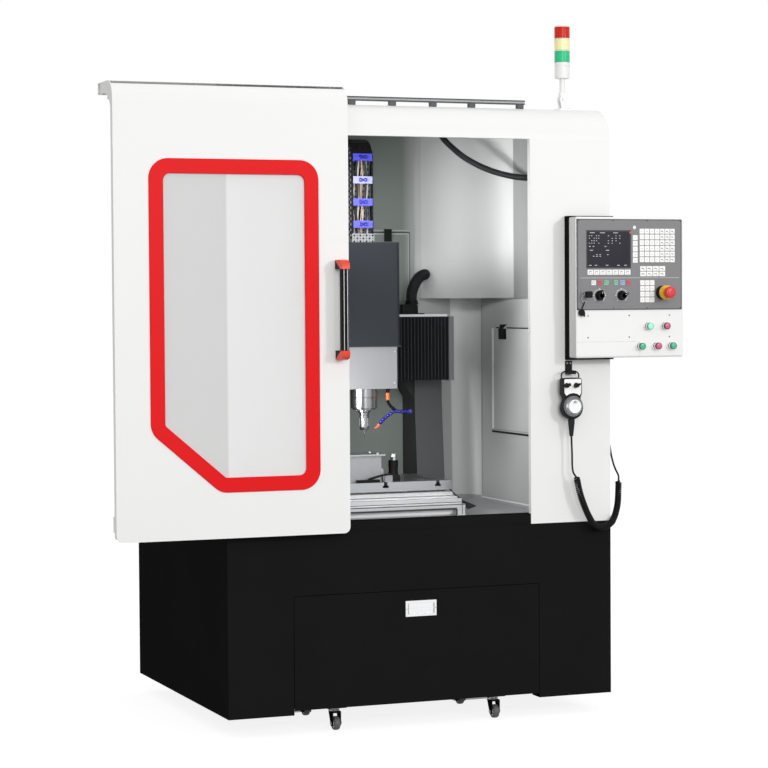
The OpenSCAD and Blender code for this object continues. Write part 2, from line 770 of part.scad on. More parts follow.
// Coolant fitting, valve, feed hose, elbow block and segmented nozzle line
module coolant_line() {
    color(black_paint) {
        post(26, 425, 1194, block_bottom, 8);
        tube(feed_route, 4);
        slab(111, 121, 411, 441, 1114, 1128);
    }
    color("#e8632c") post(26, 425, 1166, 1194, 9);
    color("#2f3fc4") tube(nozzle_route, 5.5, 8);
    color("#e8632c") tube([nozzle_route[5], [-14, 433, 1064], [-25, 435, 1060]], 3);
}

// Work table with T-slots, saddle, runner blocks, screw nut and the leading way cover
module work_table() color(steel) {
    rear = table_front + table_len;
    difference() {
        slab(-table_half_w, table_half_w, table_front, rear, table_top - table_t, table_top);
        for (i = [0 : slot_count - 1]) {
            x = (i - (slot_count - 1) / 2) * 426 / (slot_count - 1);
            slab(x - 7, x + 7, table_front - 1, rear + 1, table_top - 12, table_top + 1);
            slab(x - 12, x + 12, table_front - 1, rear + 1, table_top - 21, table_top - 12);
        }
    }
    slab(-230, 230, 480, rear - 10, 800, table_top - table_t);
    for (x = [-190, 190], d = [500, 670]) difference() {
        slab(x - 22, x + 22, d, d + 60, 776, 800);
        slab(x - 10.5, x + 10.5, d - 1, d + 61, 775, rail_top + 0.5);
    }
    difference() {
        slab(-24, 24, 580, 640, 746, 800);
        spigot(0, y_screw_z, 579, 641, screw_r + screw_play);
    }
    slab(-258, 258, 350, 475, 814, 816);
    slab(-258, 258, 348, 350, 803, 816);
    slab(-258, 258, 440, 475, 816, table_top - table_t);
}

// Middle plate of the telescopic way cover
module way_cover() color(steel) {
    slab(-263, 263, 317, 440, 799, 801);
    slab(-263, 263, 315, 317, 796, 801);
}

// Block with its clamped blank, the clamps and the tool setter on the table
module table_fixtures() {
    color("#9a9c9d") slab(-170, -2, 425, 520, table_top, 956);
    color(steel) slab(-186, 12, 418, 530, 956, 962);
    color(black_paint) {
        slab(-110, -20, 392, 410, table_top, 868);
        slab(36, 82, 440, 480, table_top, 880);
        post(60, 460, 880, 935, 19);
    }
    color(steel) {
        slab(2, 12, 440, 460, table_top, 905);
        post(62, 460, 935, 960, 12.5);
        slab(2, 32, 396, 420, table_top, 882);
    }
}

// Ball screws
module x_screw() color(steel) {
    axle(x_screw_back, x_screw_z, -410, 410, screw_r);
}
module y_screw() color(steel) {
    spigot(0, y_screw_z, 293, 957, screw_r);
}
module z_screw() color(steel) {
    post(head_x, z_screw_back, 1205, 1640, screw_r);
}

// Cable chain from the head up, over and down to the carriage
chain_left = -77;
chain_w = 86;
chain_front = 532;
chain_back = 670;
chain_top = 2143;
link_len = 27;
module chain_link() color("#23262b") {
    side = 7;
    depth = 34;
    for (x = [0, chain_w - side])
        translate([x, -depth / 2, -link_len / 2]) cube([side, depth, link_len - 1]);
    for (d = [-depth / 2, depth / 2 - 4])
        translate([side - 1, d, -6]) cube([chain_w - 2 * side + 2, 4, 12]);
}
module z_chain() {
    bend = (chain_back - chain_front) / 2;
    bend_z = chain_top - bend;
    first = 1775;
    rows = floor((bend_z - first) / link_len);
    turns = 8;
    for (i = [0 : rows])
        translate([chain_left, front_y + chain_front, first + i * link_len]) chain_link();
    for (k = [0 : turns - 1]) translate([chain_left, front_y + chain_front + bend, bend_z])
        rotate([-(k + 0.5) * 180 / turns, 0, 0]) translate([0, -bend, 0]) chain_link();
    for (i = [0 : rows])
        translate([chain_left, front_y + chain_back, first + i * link_len]) chain_link();
}

// Side profile of the door: front wall, bend and top flange, as a solid for the end plates
module door_profile(x0, x1, inset) {
    front = door_front + inset;
    top = door_top - inset;
    bend_z = door_top - door_bend;
    slab(x0, x1, front, door_front + door_depth, door_bottom + inset, bend_z);
    slab(x0, x1, door_front + door_bend, flange_back - inset, top - 40 + inset, top);
    intersection() {
        axle(door_front + door_bend, bend_z, x0, x1, door_bend - inset);
        slab(x0 - 1, x1 + 1, front - 1, door_front + door_bend, bend_z, top + 1);
    }
    difference() {
        slab(x0, x1, door_front + door_depth - 1, 48, 2163, top - 39);
        axle(53, 2163, x0 - 1, x1 + 1, 100);
    }
}

// Window outline, shrunk by an inset, in the plane of the door (across, up)
window_l = door_left + 124;
window_r = door_left + 742;
window_b = door_bottom + 160;
window_t = door_top - 266;
cut_w = 250;
cut_h = 214;
function corner_arc(p, a, b, r, n = 6) = let (
    u = unit(a - p), v = unit(b - p), half = acos(u * v) / 2,
    centre = p + unit(u + v) * r / sin(half), reach = r / tan(half),
    s = p + u * reach - centre, e = p + v * reach - centre)
    [for (i = [0 : n]) centre + r * unit(s * (n - i) / n + e * i / n)];
function window_outline(e, r, low) = let (
    k = norm([cut_w, cut_h]), across = cut_h / k, up = cut_w / k,
    low_z = window_b + cut_h + e * (1 - across) / up,
    low_x = window_l + (e + up * (cut_h - e)) / across,
    p = [[low_x, window_b + e], [window_r - e, window_b + e], [window_r - e, window_t - e],
        [window_l + e, window_t - e], [window_l + e, low_z]])
    [for (i = [0 : 4]) each corner_arc(p[i], p[(i + 4) % 5], p[(i + 1) % 5],
        i == 0 || i == 4 ? r * low : r)];
module window_solid(e, r, d0, d1, low = 0.6)
    translate([0, front_y + d1, 0]) rotate([90, 0, 0]) linear_extrude(d1 - d0)
        polygon(window_outline(e, r, low));

// Sliding door: folded skin, end plates notched for the rail, rollers and lower guides
module door_shell() {
    t = 3;
    corner = 23;
    color(white_paint) difference() {
        union() {
            difference() {
                door_profile(door_left, door_right, 0);
                difference() {
                    door_profile(door_left + t, door_right - t, t);
                    slab(door_left, door_right, flange_back - 2 * t, flange_back, 2200, 2400);
                }
                slab(door_left + t, door_right - t, door_front + t, door_front + door_depth + 1,
                    door_bottom + t, 2200);
                slab(door_left + t, door_right - t, door_front + door_depth, flange_back - t,
                    2150, door_top - t);
            }
        }
        for (x = [door_left - 1, door_right - t - 1])
            slab(x, x + t + 2, rail_back - 17, flange_back - t, 2200, door_top - t);
        window_solid(40, 30, door_front - 1, door_front + t + 1);
        for (s = [0, 1]) difference() {
            slab(s > 0 ? door_right - corner : door_left - 1, s > 0 ? door_right + 1
                : door_left + corner, door_front - 1, 0, door_bottom - 1, door_bottom + corner);
            spigot(s > 0 ? door_right - corner : door_left + corner, door_bottom + corner,
                door_front - 2, 1, corner);
        }
    }
    color(steel) for (x = [520, 800]) {
        spigot(door_left + x, rail_z + 9.3, rail_back - 8, rail_back + 8, 9);
        slab(door_left + x - 10, door_left + x + 10, rail_back - 13, rail_back - 8,
            rail_z + 2, door_top - t);
    }
    color(white_paint) {
        slab(door_left + t, door_left + 40, door_front + t, -6, 752, 806);
        slab(door_right - 60, door_right - 30, door_front + t, -6, 752, 790);
    }
}

// Coloured band round the window and the pane behind it
module window_frame() color(signal_red) difference() {
    union() {
        window_solid(0, 70, door_front - 4, door_front, 1);
        window_solid(40.2, 30, door_front, door_front + 3);
    }
    window_solid(band_w, 25, door_front - 5, door_front + 4);
}
module window_glass() color([0.8, 0.85, 0.88, 0.35])
    window_solid(28, 30, door_front + 3, door_front + 8);

// Bridge handle of the door: ribbed grip between two end caps
module door_handle() {
    left = door_right - 52;
    reach = door_front - 70;
    color("#e8482a") for (z = [1335, 1660]) {
        slab(left + 2, left + 28, reach + 8, door_front, z, z + 28);
        slab(left, left + 30, reach, reach + 30, z, z + 28);
    }
    color(black_paint) difference() {
        slab(left + 1, left + 29, reach + 2, reach + 28, 1363, 1660);
        for (x = [left + 7, left + 15, left + 23]) slab(x, x + 2, reach + 1, reach + 4, 1364, 1659);
    }
}

// Roll-out coolant cart: front, closed tank, pump, castor plates and fixed rear castors
module cart_body() color(black_paint) {
    difference() {
        slab(cart_left, cart_right, 0, 3, cart_bottom, cart_top);
        slab(-74, 41, -1, 4, 402, 454);
    }
    difference() {
        slab(cart_left + 13, cart_right - 14, 50, 420, 100, 420);
        slab(cart_left + 16, cart_right - 17, 53, 417, 103, 417);
    }
    slab(cart_left + 13, cart_right - 14, 3, 420, cart_bottom, 100);
    post(250, 250, 420, 490, 70);
    for (x = castor_x) {
        slab(x - 36, x + 36, castor_back - 34, castor_back + 34, 80, cart_bottom);
        slab(x - 36, x + 36, rear_castor_back - 34, rear_castor_back + 34, 80, cart_bottom);
        for (s = [-1, 1]) difference() {
            slab(x + s * 15 - 2, x + s * 15 + 2, rear_castor_back - 16, rear_castor_back + 16,
                14, 80);
            axle(rear_castor_back, wheel_r, x - 20, x + 20, 4.05);
        }
    }
}

// Flush pull in the front of the cart
module cart_handle() color(steel) difference() {
    union() {
        slab(-77, 44, -2, 0, 399, 457);
        slab(-73.5, 40.5, 0, 30, 402.5, 453.5);
    }
    slab(-68, 35, -3, 27, 408, 448);
}

// Swivel fork of a front castor
module castor_fork(x) color(black_paint) {
    post(x, castor_back, 68, 79.7, 20);
    difference() {
        union() {
            slab(x - 17, x + 17, castor_back - 28, castor_back + 12, 58, 68);
            for (s = [-1, 1])
                slab(x + s * 15 - 2, x + s * 15 + 2, castor_back - castor_trail - 12,
                    castor_back - castor_trail + 12, 14, 60);
        }
        axle(castor_back - castor_trail, wheel_r, x - 20, x + 20, 4.05);
    }
}
module castor_fork_left() castor_fork(castor_x[0]);
module castor_fork_right() castor_fork(castor_x[1]);

// Castor wheel with its axle
module castor_wheel(x, d) {
    color("#8b8d90") axle(d, wheel_r, x - 11, x + 11, wheel_r);
    color(steel) axle(d, wheel_r, x - 21, x + 21, 4);
}
module castor_wheel_left() castor_wheel(castor_x[0], castor_back - castor_trail);
module castor_wheel_right() castor_wheel(castor_x[1], castor_back - castor_trail);
module rear_wheels() for (x = castor_x) castor_wheel(x, rear_castor_back);

// Rear service door with hinge knuckles and a flush lock
module rear_door() color(white_paint) {
    back = body_d + 1;
    difference() {
        slab(-375, 375, back, back + 16, 875, 1925);
        slab(-372, 372, back - 1, back + 13, 878, 1922);
    }
    for (z = hinge_z) difference() {
        union() {
            post(-386, body_d + 8, z + 0.5, z + 50, 7);
            slab(-386, -374, body_d + 5, body_d + 11, z + 0.5, z + 50);
        }
        post(-386, body_d + 8, z - 1, z + 62, 3.05);
    }
    spigot(345, 1400, back + 16, back + 22, 12);
}

base_shell();
levelling_mounts();
bed_casting();
gantry();
cabinet_front();
cabinet_panels();
lining();
splash_tray();
roof_rail();
control_frame();
control_box();
controller_panel();
display();
panel_fittings();
pendant_holder();
pendant_body();
pendant_lead();
pendant_coil();
pendant_tail();
cord_glands();
tower_bracket();
interior_hoses();
beam_bellows();
x_carriage();
head_cover();
head_block();
spindle_housing();
coolant_line();
spindle_rotor();
work_table();
table_fixtures();
way_cover();
x_screw();
y_screw();
z_screw();
z_chain();
door_shell();
window_frame();
window_glass();
door_handle();
cart_body();
cart_handle();
castor_fork_left();
castor_fork_right();
castor_wheel_left();
castor_wheel_right();
rear_wheels();
tower_mast();
tower_lenses();
button_mint();
button_red_upper();
button_green_left();
button_red_lower();
button_green_right();
estop_button();
knob_left();
knob_right();
switch_key();
handwheel();
rear_door();
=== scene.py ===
from itertools import product
from math import cos, hypot, pi, radians, sin, tan

import bmesh
import bpy
from mathutils import Matrix, Vector


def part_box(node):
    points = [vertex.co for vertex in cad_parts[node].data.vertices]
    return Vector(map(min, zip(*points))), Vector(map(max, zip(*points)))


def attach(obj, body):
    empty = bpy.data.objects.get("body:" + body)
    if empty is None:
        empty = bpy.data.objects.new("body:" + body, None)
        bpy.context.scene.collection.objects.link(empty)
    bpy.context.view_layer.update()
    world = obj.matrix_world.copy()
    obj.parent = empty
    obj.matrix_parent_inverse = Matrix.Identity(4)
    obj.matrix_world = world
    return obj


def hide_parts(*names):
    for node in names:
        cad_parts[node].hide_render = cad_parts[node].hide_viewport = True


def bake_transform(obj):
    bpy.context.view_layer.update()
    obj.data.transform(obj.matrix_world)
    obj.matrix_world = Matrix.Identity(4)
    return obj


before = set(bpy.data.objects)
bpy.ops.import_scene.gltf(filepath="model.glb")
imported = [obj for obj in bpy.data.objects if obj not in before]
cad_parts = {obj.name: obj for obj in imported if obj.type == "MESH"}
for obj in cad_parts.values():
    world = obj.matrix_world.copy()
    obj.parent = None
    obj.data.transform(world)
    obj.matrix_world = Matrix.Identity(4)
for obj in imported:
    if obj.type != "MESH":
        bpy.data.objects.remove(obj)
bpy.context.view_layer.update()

# The frame's y of the front face of the base. Setbacks d are measured from it, in millimetres.
FRONT = -0.75
FORWARD, UP, DOWN = (0, -1, 0), (0, 0, 1), (0, 0, -1)
CAMERA_AT = (-3.2644, -8.6942, 1.5534)
CAMERA_TURN = (21.373, -2.079, -0.371)  # degrees to the right, upward and rolled


def P(x, d, z):
    """A point from a sideways place, a setback and a height in millimetres."""
    return Vector((x / 1000, FRONT + d / 1000, z / 1000))


def polar(r, degrees):
    """The two parts of a distance in a direction."""
    a = radians(degrees)
    return r * cos(a), r * sin(a)


def put(name, data):
    """A new object in the scene."""
    o = bpy.data.objects.new(name, data)
    bpy.context.scene.collection.objects.link(o)
    return o


# --- camera
cam = put("camera", bpy.data.cameras.new("camera"))
bpy.context.scene.camera = cam
yaw, pitch, roll = (radians(a) for a in CAMERA_TURN)
ahead = Vector((sin(yaw) * cos(pitch), cos(yaw) * cos(pitch), sin(pitch)))
level = Vector((cos(yaw), -sin(yaw), 0))
above = level.cross(ahead)
stance = Matrix((cos(roll) * level + sin(roll) * above,
                 cos(roll) * above - sin(roll) * level, -ahead)).transposed().to_4x4()
stance.translation = CAMERA_AT
cam.matrix_world = stance
cam.data.sensor_width = 36
cam.data.lens = 111.45
cam.data.clip_end = 100


# --- materials
def rgb(code):
    """Linear colour of a #rrggbb code."""
    parts = [int(code[i:i + 2], 16) / 255 for i in (1, 3, 5)]
    return [p / 12.92 if p < 0.04045 else ((p + 0.055) / 1.055) ** 2.4 for p in parts] + [1.0]


def feed(node, sockets):
    """A value or another node's output at each of a node's sockets."""
    for key, value in sockets.items():
        if isinstance(value, bpy.types.NodeSocket):
            node.id_data.links.new(value, node.inputs[key])
        else:
            node.inputs[key].default_value = value


def shader(tree, kind, sockets, **settings):
    """The outputs of a new shader node."""
    new = tree.nodes.new("ShaderNode" + kind)
    for key, value in settings.items():
        setattr(new, key, value)
    feed(new, sockets)
    return new.outputs


def material(name, code, rough=0.5, metal=0.0, vary=0.08, scale=6.0, grain=0.0, grain_scale=900.0,
             stretch=(1, 1, 1), rough_vary=0.1, shine=0.5, **sockets):
    """A paint, plastic, rubber or metal: cloudy colour and gloss, and a fine surface relief."""
    m = bpy.data.materials.new(name)
    m.use_nodes = True
    t = m.node_tree
    where = shader(t, "TexCoord", {})["Object"]
    stretched = shader(t, "Mapping", {"Scale": stretch, "Vector": where})["Vector"]

    def noise(size, detail):
        return shader(t, "TexNoise", {"Scale": size, "Detail": detail, "Vector": stretched})["Fac"]

    cloud = noise(scale, 5)
    c = rgb(code)[:3]
    dark = [v * (1 - vary) for v in c] + [1]
    light = [min(1, v * (1 + vary)) for v in c] + [1]
    tint = shader(t, "Mix", {0: cloud, 6: dark, 7: light}, data_type="RGBA")[2]
    least, most = max(0.03, rough - rough_vary), min(1, rough + rough_vary)
    gloss = shader(t, "MapRange", {"To Min": least, "To Max": most, "Value": cloud})["Result"]
    sockets |= {"Base Color": tint, "Roughness": gloss, "Metallic": metal,
                "Specular IOR Level": shine}
    if grain:
        relief = {"Strength": grain, "Distance": 0.0006, "Height": noise(grain_scale, 3)}
        sockets["Normal"] = shader(t, "Bump", relief)["Normal"]
    feed(t.nodes["Principled BSDF"], sockets)
    return m


def tone_step(mat, x0, x1, share, colour, blend="MIX"):
    """A second colour over a material, whose share goes from one value to another from x0 to x1."""
    t = mat.node_tree
    paint = t.nodes["Principled BSDF"]
    under = paint.inputs["Base Color"].links[0].from_socket
    x = shader(t, "SeparateXYZ", {0: t.nodes["Texture Coordinate"].outputs["Object"]})["X"]
    step = shader(t, "MapRange", {"From Min": x0, "From Max": x1, "To Min": share[0],
                                  "To Max": share[1], "Value": x})["Result"]
    over = shader(t, "Mix", {0: step, 6: under, 7: colour}, data_type="RGBA", blend_type=blend)
    feed(paint, {"Base Color": over[2]})


def powder(name, code, rough):
    return material(name, code, rough, vary=0.012, grain=0.12, grain_scale=500, rough_vary=0.05)


def enamel(name, code, rough=0.46, scale=3):
    return material(name, code, rough, vary=0.04, scale=scale, grain=0.1, grain_scale=300)


def casting_paint(name, code, rough, vary, grain, **more):
    return material(name, code, rough, vary=vary, scale=10, grain=grain, grain_scale=260, **more)


# Paint on sheet metal and castings
white = powder("white_powder", "#ededec", 0.42)
box_white = powder("box_powder", "#eeeeed", 0.4)
side_grey = material("side_grey", "#c9c9c7", vary=0.03, grain=0.1)
# Painted shade: the control box's sides are grey, darker than its white front.
box_side_painted_shade = material("box_side_painted_shade", "#b4b5b4", vary=0.04, grain=0.1)
black = material("black_powder", "#1c1c1c", 0.65, vary=0.15, grain=0.45, grain_scale=1400, shine=0)
lining_mat = enamel("lining_enamel", "#b6b8b7")
# Painted light: the rounded corner between the rear and right walls is lighter than the rest of the
# lining.
corner_painted_light = enamel("corner_enamel_painted_light", "#d6d8d7")
# Painted shade: the rear wall is darker than the other walls; painted light makes it lighter right
# of x = 0.30 to 0.36 m.
rear_wall_painted_shade_and_light = enamel("rear_wall_painted_shade_and_light", "#6f7772", 0.5)
tone_step(rear_wall_painted_shade_and_light, 0.30, 0.36, (0, 1), rgb("#a9acab"))
tray_mat = enamel("tray_enamel", "#a9aaac", 0.5, 4)
# Painted highlights: pale lines at the right wall's hatch and corner fold, and round the rear wall's
# hatch.
pale_edge_highlight = material("hatch_edge_highlight", "#9aa09d", 0.4, vary=0.04)
# Painted shade: the hood's flat face at the right is darker than the rest of the lining.
hood_strip_shade = material("hood_strip_painted_shade", "#7f8180", 0.46, vary=0.03)
seam = material("seam_shadow", "#5d625f", 0.6, vary=0.05)
# Near white: the pale panel in the tray's recess, and painted highlights on the gantry's top plate
# and along edges in the right wall.
pale_trim_and_highlight = material("pale_trim_and_highlight", "#eeefef", 0.35, vary=0.04)
casting = casting_paint("casting_enamel", "#454749", 0.55, 0.12, 0.35)
casting_dark = casting_paint("casting_dark", "#2b2d2c", 0.6, 0.12, 0.3, shine=0.2)
grey_cast = casting_paint("grey_enamel", "#6e7173", 0.5, 0.08, 0.2)
silver = material("silver_enamel", "#868789", 0.4, 0.15, vary=0.03, scale=8, grain=0.06)
slate = material("slate_enamel", "#24282e", 0.45, vary=0.05, scale=5, grain=0.1, grain_scale=600,
                 shine=0.18)
# Metal
steel = material("ground_steel", "#a2a5a7", 0.32, 0.9, vary=0.08, scale=3, grain=0.18,
                 grain_scale=220, stretch=(0.6, 12, 12), rough_vary=0.09)
brushed = material("brushed_steel", "#c3c5c6", 0.34, 0.85, vary=0.09, scale=3, grain=0.07,
                   grain_scale=200, stretch=(12, 0.6, 12))
leaf_steel = material("leaf_steel", "#c6c8c9", 0.36, 0.6, vary=0.32, scale=3, grain=0.1,
                      grain_scale=260, stretch=(0.9, 14, 32), rough_vary=0.08)
# Painted reflections: the spindle steel's colour is streaked strongly up and down.
spindle_steel_painted_reflections = material("spindle_steel_painted_reflections", "#8b8d8f", 0.24, 1.0, vary=0.55, scale=9, grain=0.05,
                         grain_scale=200, stretch=(9, 9, 0.35), rough_vary=0.08)
fixture = material("fixture_casting", "#8e9092", 0.48, 0.5, vary=0.12, scale=40, grain=0.3,
                   grain_scale=400)
zinc = material("zinc_plate", "#a9abac", 0.38, 0.85, vary=0.12, scale=30, grain=0.05)
chrome = material("chrome", "#e2e3e4", 0.12, 1.0, vary=0.03, scale=20, rough_vary=0.05)
rail_steel = material("rail_steel", "#b4b6b7", vary=0.1, scale=12, grain=0.05, shine=0.1)
rail_foot = material("cover_lip", "#3f4244", vary=0.1, scale=20)
dial_metal = material("dial_metal", "#fbfbfb", 0.4, vary=0.03, scale=20)
# Plastic, rubber and cloth
knob_black = material("knob_black", "#0b0b0c", vary=0.2, scale=30, shine=0.12)
plastic = material("black_plastic", "#131314", 0.48, vary=0.2, scale=30, grain=0.25,
                   grain_scale=1200, shine=0.12)
rubber = material("black_rubber", "#17181b", 0.58, vary=0.2, scale=30, grain=0.3,
                  grain_scale=1000, shine=0.2)
cord_rubber = material("cord_jacket", "#111112", 0.45, vary=0.2, scale=60, grain=0.2,
                       grain_scale=1500, shine=0.12)
fabric = material("bellows_cloth", "#24262b", 0.72, vary=0.18, scale=20, grain=0.5, grain_scale=1800)
red_band = material("red_moulding", "#e4191d", 0.38, vary=0.03, scale=12, grain=0.05,
                    rough_vary=0.05, shine=0.1)
orange = material("orange_moulding", "#ea4020", 0.35, vary=0.05, scale=40, grain=0.08)
blue_hose = material("blue_segments", "#1c1a72", 0.3, vary=0.08, scale=90, grain=0.05)
valve_orange = material("valve_orange", "#e2622a", 0.35, vary=0.06, scale=90)
blue_bar = material("blue_bar", "#4648c4", 0.4, vary=0.06, scale=60, grain=0.05)
pale_bar = material("pale_bar", "#8c8bd2", 0.4, vary=0.05, scale=60, grain=0.05)
dark_blue = material("dark_blue", "#0b0b6a", 0.4, vary=0.05, scale=60)
cable_white = material("cable_white", "#dcdad4", vary=0.08, scale=60)
cable_brown = material("cable_brown", "#6b5446", vary=0.1, scale=60)
tread = material("tread", "#515356", 0.55, vary=0.12, scale=60, grain=0.2)
hub = material("hub", "#d9dad9", 0.4, vary=0.05, scale=50)
# Controls and lamps
panel_grey = material("membrane_grey", "#7d7d7f", 0.55, vary=0.03, scale=14, grain=0.12,
                      grain_scale=1500)
plate_edge = material("plate_edge", "#26272a", vary=0.1, scale=20)
key_white = material("key_white", "#f8f8f7", vary=0.02, scale=60, grain=0.05)
mark_white = material("mark_white", "#dcdddc", vary=0.03, scale=60)
key_red, key_green, key_blue = (
    material(name, code, vary=0.05, scale=80)
    for name, code in (("key_red", "#d0505c"), ("key_green", "#7ec7a0"), ("key_blue", "#9db4dd")))
screen = material("screen", "#24222c", 0.28, vary=0.08, scale=18, rough_vary=0.06, shine=0.15)
readout = material("readout", "#c8ccd6", 0.4, vary=0.1, scale=120)
yellow = material("estop_yellow", "#e3b61c", 0.38, vary=0.05, scale=60)
mushroom = material("mushroom_red", "#d8282c", 0.3, vary=0.04, scale=40, rough_vary=0.05)
cap_mats = {
    colour: [material(f"{colour}_cap_{part}", code, 0.26, vary=0.04, scale=60, rough_vary=0.06)
             for part, code in (("rim", rim), ("middle", middle))]
    for colour, rim, middle in (("green", "#23825c", "#3fb88a"), ("mint", "#62c8a6", "#a5ffdf"),
                                ("red", "#7a2040", "#cf5a80"))}
lens_mats = [
    material(name, code, rough, vary=vary, scale=40, rough_vary=0.05, shine=shine)
    for name, code, rough, vary, shine in (
        ("lens_green", "#34c588", 0.2, 0.08, 0.2), ("lens_yellow", "#f7f3ae", 0.16, 0.05, 0.5),
        ("lens_red", "#cf2a18", 0.2, 0.08, 0.15))]
glass = material("laminated_glass", "#fdfdfd", 0.06, vary=0.015, scale=2, rough_vary=0.02,
                 Alpha=0.6, IOR=1.5)
# Painted reflection: the pane is darker left of x = -0.764 m and lighter right of it.
tone_step(glass, -0.764, -0.757, (1, 0), (0.8, 0.8, 0.8, 1), "MULTIPLY")


# --- mesh building
BEVEL_ANGLE, SHARP_ANGLE = 0.6, 0.62  # radians between faces


def frames(points):
    """Along each point of a path, two directions square to it that turn as little as possible."""
    n = len(points)
    ways = [(points[min(i + 1, n - 1)] - points[max(i - 1, 0)]).normalized() for i in range(n)]
    side = ways[0].orthogonal().normalized()
    out = []
    for way in ways:
        side = (side - way * side.dot(way)).normalized()
        out.append((side, way.cross(side)))
    return out


def smooth_path(points, steps):
    """A Catmull-Rom curve through the points."""
    out = []
    for i in range(len(points) - 1):
        a, b, c, d = (points[max(0, min(len(points) - 1, i + k))] for k in (-1, 0, 1, 2))
        for s in range(steps):
            t = s / steps
            out.append(0.5 * (2 * b + (c - a) * t + (2 * a - 5 * b + 4 * c - d) * t * t
                              + (3 * b - a - 3 * c + d) * t ** 3))
    return out + [points[-1]]


def curved(steps, *places):
    """A smooth path through places (x, d, z)."""
    return smooth_path([P(*p) for p in places], steps)


def even(points, step):
    """The same path with points at even distances."""
    out, carry = [points[0].copy()], 0.0
    for a, b in zip(points, points[1:]):
        span = (b - a).length
        at = step - carry
        while at <= span:
            out.append(a.lerp(b, at / span))
            at += step
        carry = (carry + span) % step
    return out


def arc(cx, cy, r, a0, a1, n=6):
    """Points of an arc in degrees."""
    spokes = (polar(r, a0 + (a1 - a0) * i / n) for i in range(n + 1))
    return [(cx + a, cy + b) for a, b in spokes]


def round_rect(x0, x1, y0, y1, r, n=5):
    """Outline of a rectangle with round corners."""
    return (arc(x1 - r, y0 + r, r, -90, 0, n) + arc(x1 - r, y1 - r, r, 0, 90, n)
            + arc(x0 + r, y1 - r, r, 90, 180, n) + arc(x0 + r, y0 + r, r, 180, 270, n))


def lay(axis, p, k):
    """A point of an outline at a place along x (it holds d, z), d (x, z) or z (x, d)."""
    return {"x": P(k, *p), "d": P(p[0], k, p[1]), "z": P(*p, k)}[axis]


class Piece:
    """One mesh gathered from boxes, prisms, turned forms and tubes, each with its material."""

    def __init__(self, name):
        self.name, self.bm, self.mats = name, bmesh.new(), []

    def _keep(self, faces, mat):
        if mat not in self.mats:
            self.mats.append(mat)
        for f in faces:
            f.material_index = self.mats.index(mat)
            f.smooth = True

    def rings(self, rings, mat, caps=True, bevel=0.0):
        """A skin over closed rings of points."""
        vs = [[self.bm.verts.new(p) for p in ring] for ring in rings]
        faces = []
        for a, b in zip(vs, vs[1:]):
            for i in range(len(a)):
                j = (i + 1) % len(a)
                faces.append(self.bm.faces.new((a[i], a[j], b[j], b[i])))
        if caps:
            faces.append(self.bm.faces.new(list(reversed(vs[0]))))
            faces.append(self.bm.faces.new(vs[-1]))
        self._keep(faces, mat)
        if bevel:
            edges = {e for f in faces for e in f.edges
                     if len(e.link_faces) == 2 and e.calc_face_angle(0) > BEVEL_ANGLE}
            done = bmesh.ops.bevel(self.bm, geom=list(edges), offset=bevel / 1000, segments=2,
                                   profile=0.6, affect="EDGES", clamp_overlap=True)
            self._keep(done["faces"], mat)

    def prism(self, outline, axis, a, b, mat, bevel=0.0):
        """An outline moved along an axis (see lay)."""
        self.rings([[lay(axis, p, k) for p in outline] for k in (a, b)], mat, bevel=bevel)

    def box(self, x0, x1, d0, d1, z0, z1, mat, bevel=1.0):
        self.prism([(x0, d0), (x1, d0), (x1, d1), (x0, d1)], "z", z0, z1, mat, bevel)

    def strips(self, mat, *spans):
        """Boxes with sharp edges."""
        for span in spans:
            self.box(*span, mat, 0)

    def block(self, axis, x0, x1, y0, y1, r, levels, mat, n=4):
        """A block with round corners along an axis, drawn in by an inset at each (inset, place)."""
        self.rings([[lay(axis, p, k) for p in round_rect(x0 + i, x1 - i, y0 + i, y1 - i, r, n)]
                    for i, k in levels], mat)

    def turned(self, place, profile, mat, n=32, axis=FORWARD):
        """A profile of (radius, distance) pairs turned about an axis through a place."""
        base, axis = P(*place), Vector(axis).normalized()
        u = axis.orthogonal().normalized()
        v = axis.cross(u)
        spokes = [polar(1, 360 * k / n) for k in range(n)]
        self.rings([[base + axis * h / 1000 + (u * a + v * b) * r / 1000 for a, b in spokes]
                    for r, h in profile], mat)

    def aimed(self, x, z, degrees, outline, depths, mat, bevel=0.0):
        """An outline in the plane of the front, turned about a point, between two setbacks."""
        c, s = polar(1, degrees)
        self.rings([[P(x + c * a - s * b, d, z + s * a + c * b) for a, b in outline]
                    for d in depths], mat, bevel=bevel)

    def tube(self, points, r, mat, n=12):
        """A tube of one radius, or of a radius for each point."""
        radii = r if isinstance(r, list) else [r] * len(points)
        spokes = [polar(1, 360 * k / n) for k in range(n)]
        self.rings([[p + (u * a + v * b) * q / 1000 for a, b in spokes]
                    for p, q, (u, v) in zip(points, radii, frames(points))], mat)

    def screws(self, xs, ds, zs, r, h=1.6, mat=None, axis=FORWARD):
        """A screw's head with a socket wherever the places along x, d and z cross."""
        head = [(r, -0.5), (r, h * 0.6), (r * 0.75, h), (r * 0.45, h), (r * 0.4, h * 0.4)]
        for place in product(xs, ds, zs):
            self.turned(place, head, mat or zinc, 12, axis)

    def done(self, body, *nodes, slot=None):
        """The finished object: the body it rides on and the CAD nodes it replaces; its slot is not
        used.
        """
        bmesh.ops.recalc_face_normals(self.bm, faces=self.bm.faces)
        for e in self.bm.edges:
            if len(e.link_faces) != 2 or e.calc_face_angle(0) > SHARP_ANGLE:
                e.smooth = False
        mesh = bpy.data.meshes.new(self.name)
        self.bm.to_mesh(mesh)
        self.bm.free()
        for m in self.mats:
            mesh.materials.append(m)
        o = put(self.name, mesh)
        o.modifiers.new("normals", "WEIGHTED_NORMAL").keep_sharp = True
        if body:
            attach(o, body)
        if nodes:
            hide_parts(*nodes)
        return o


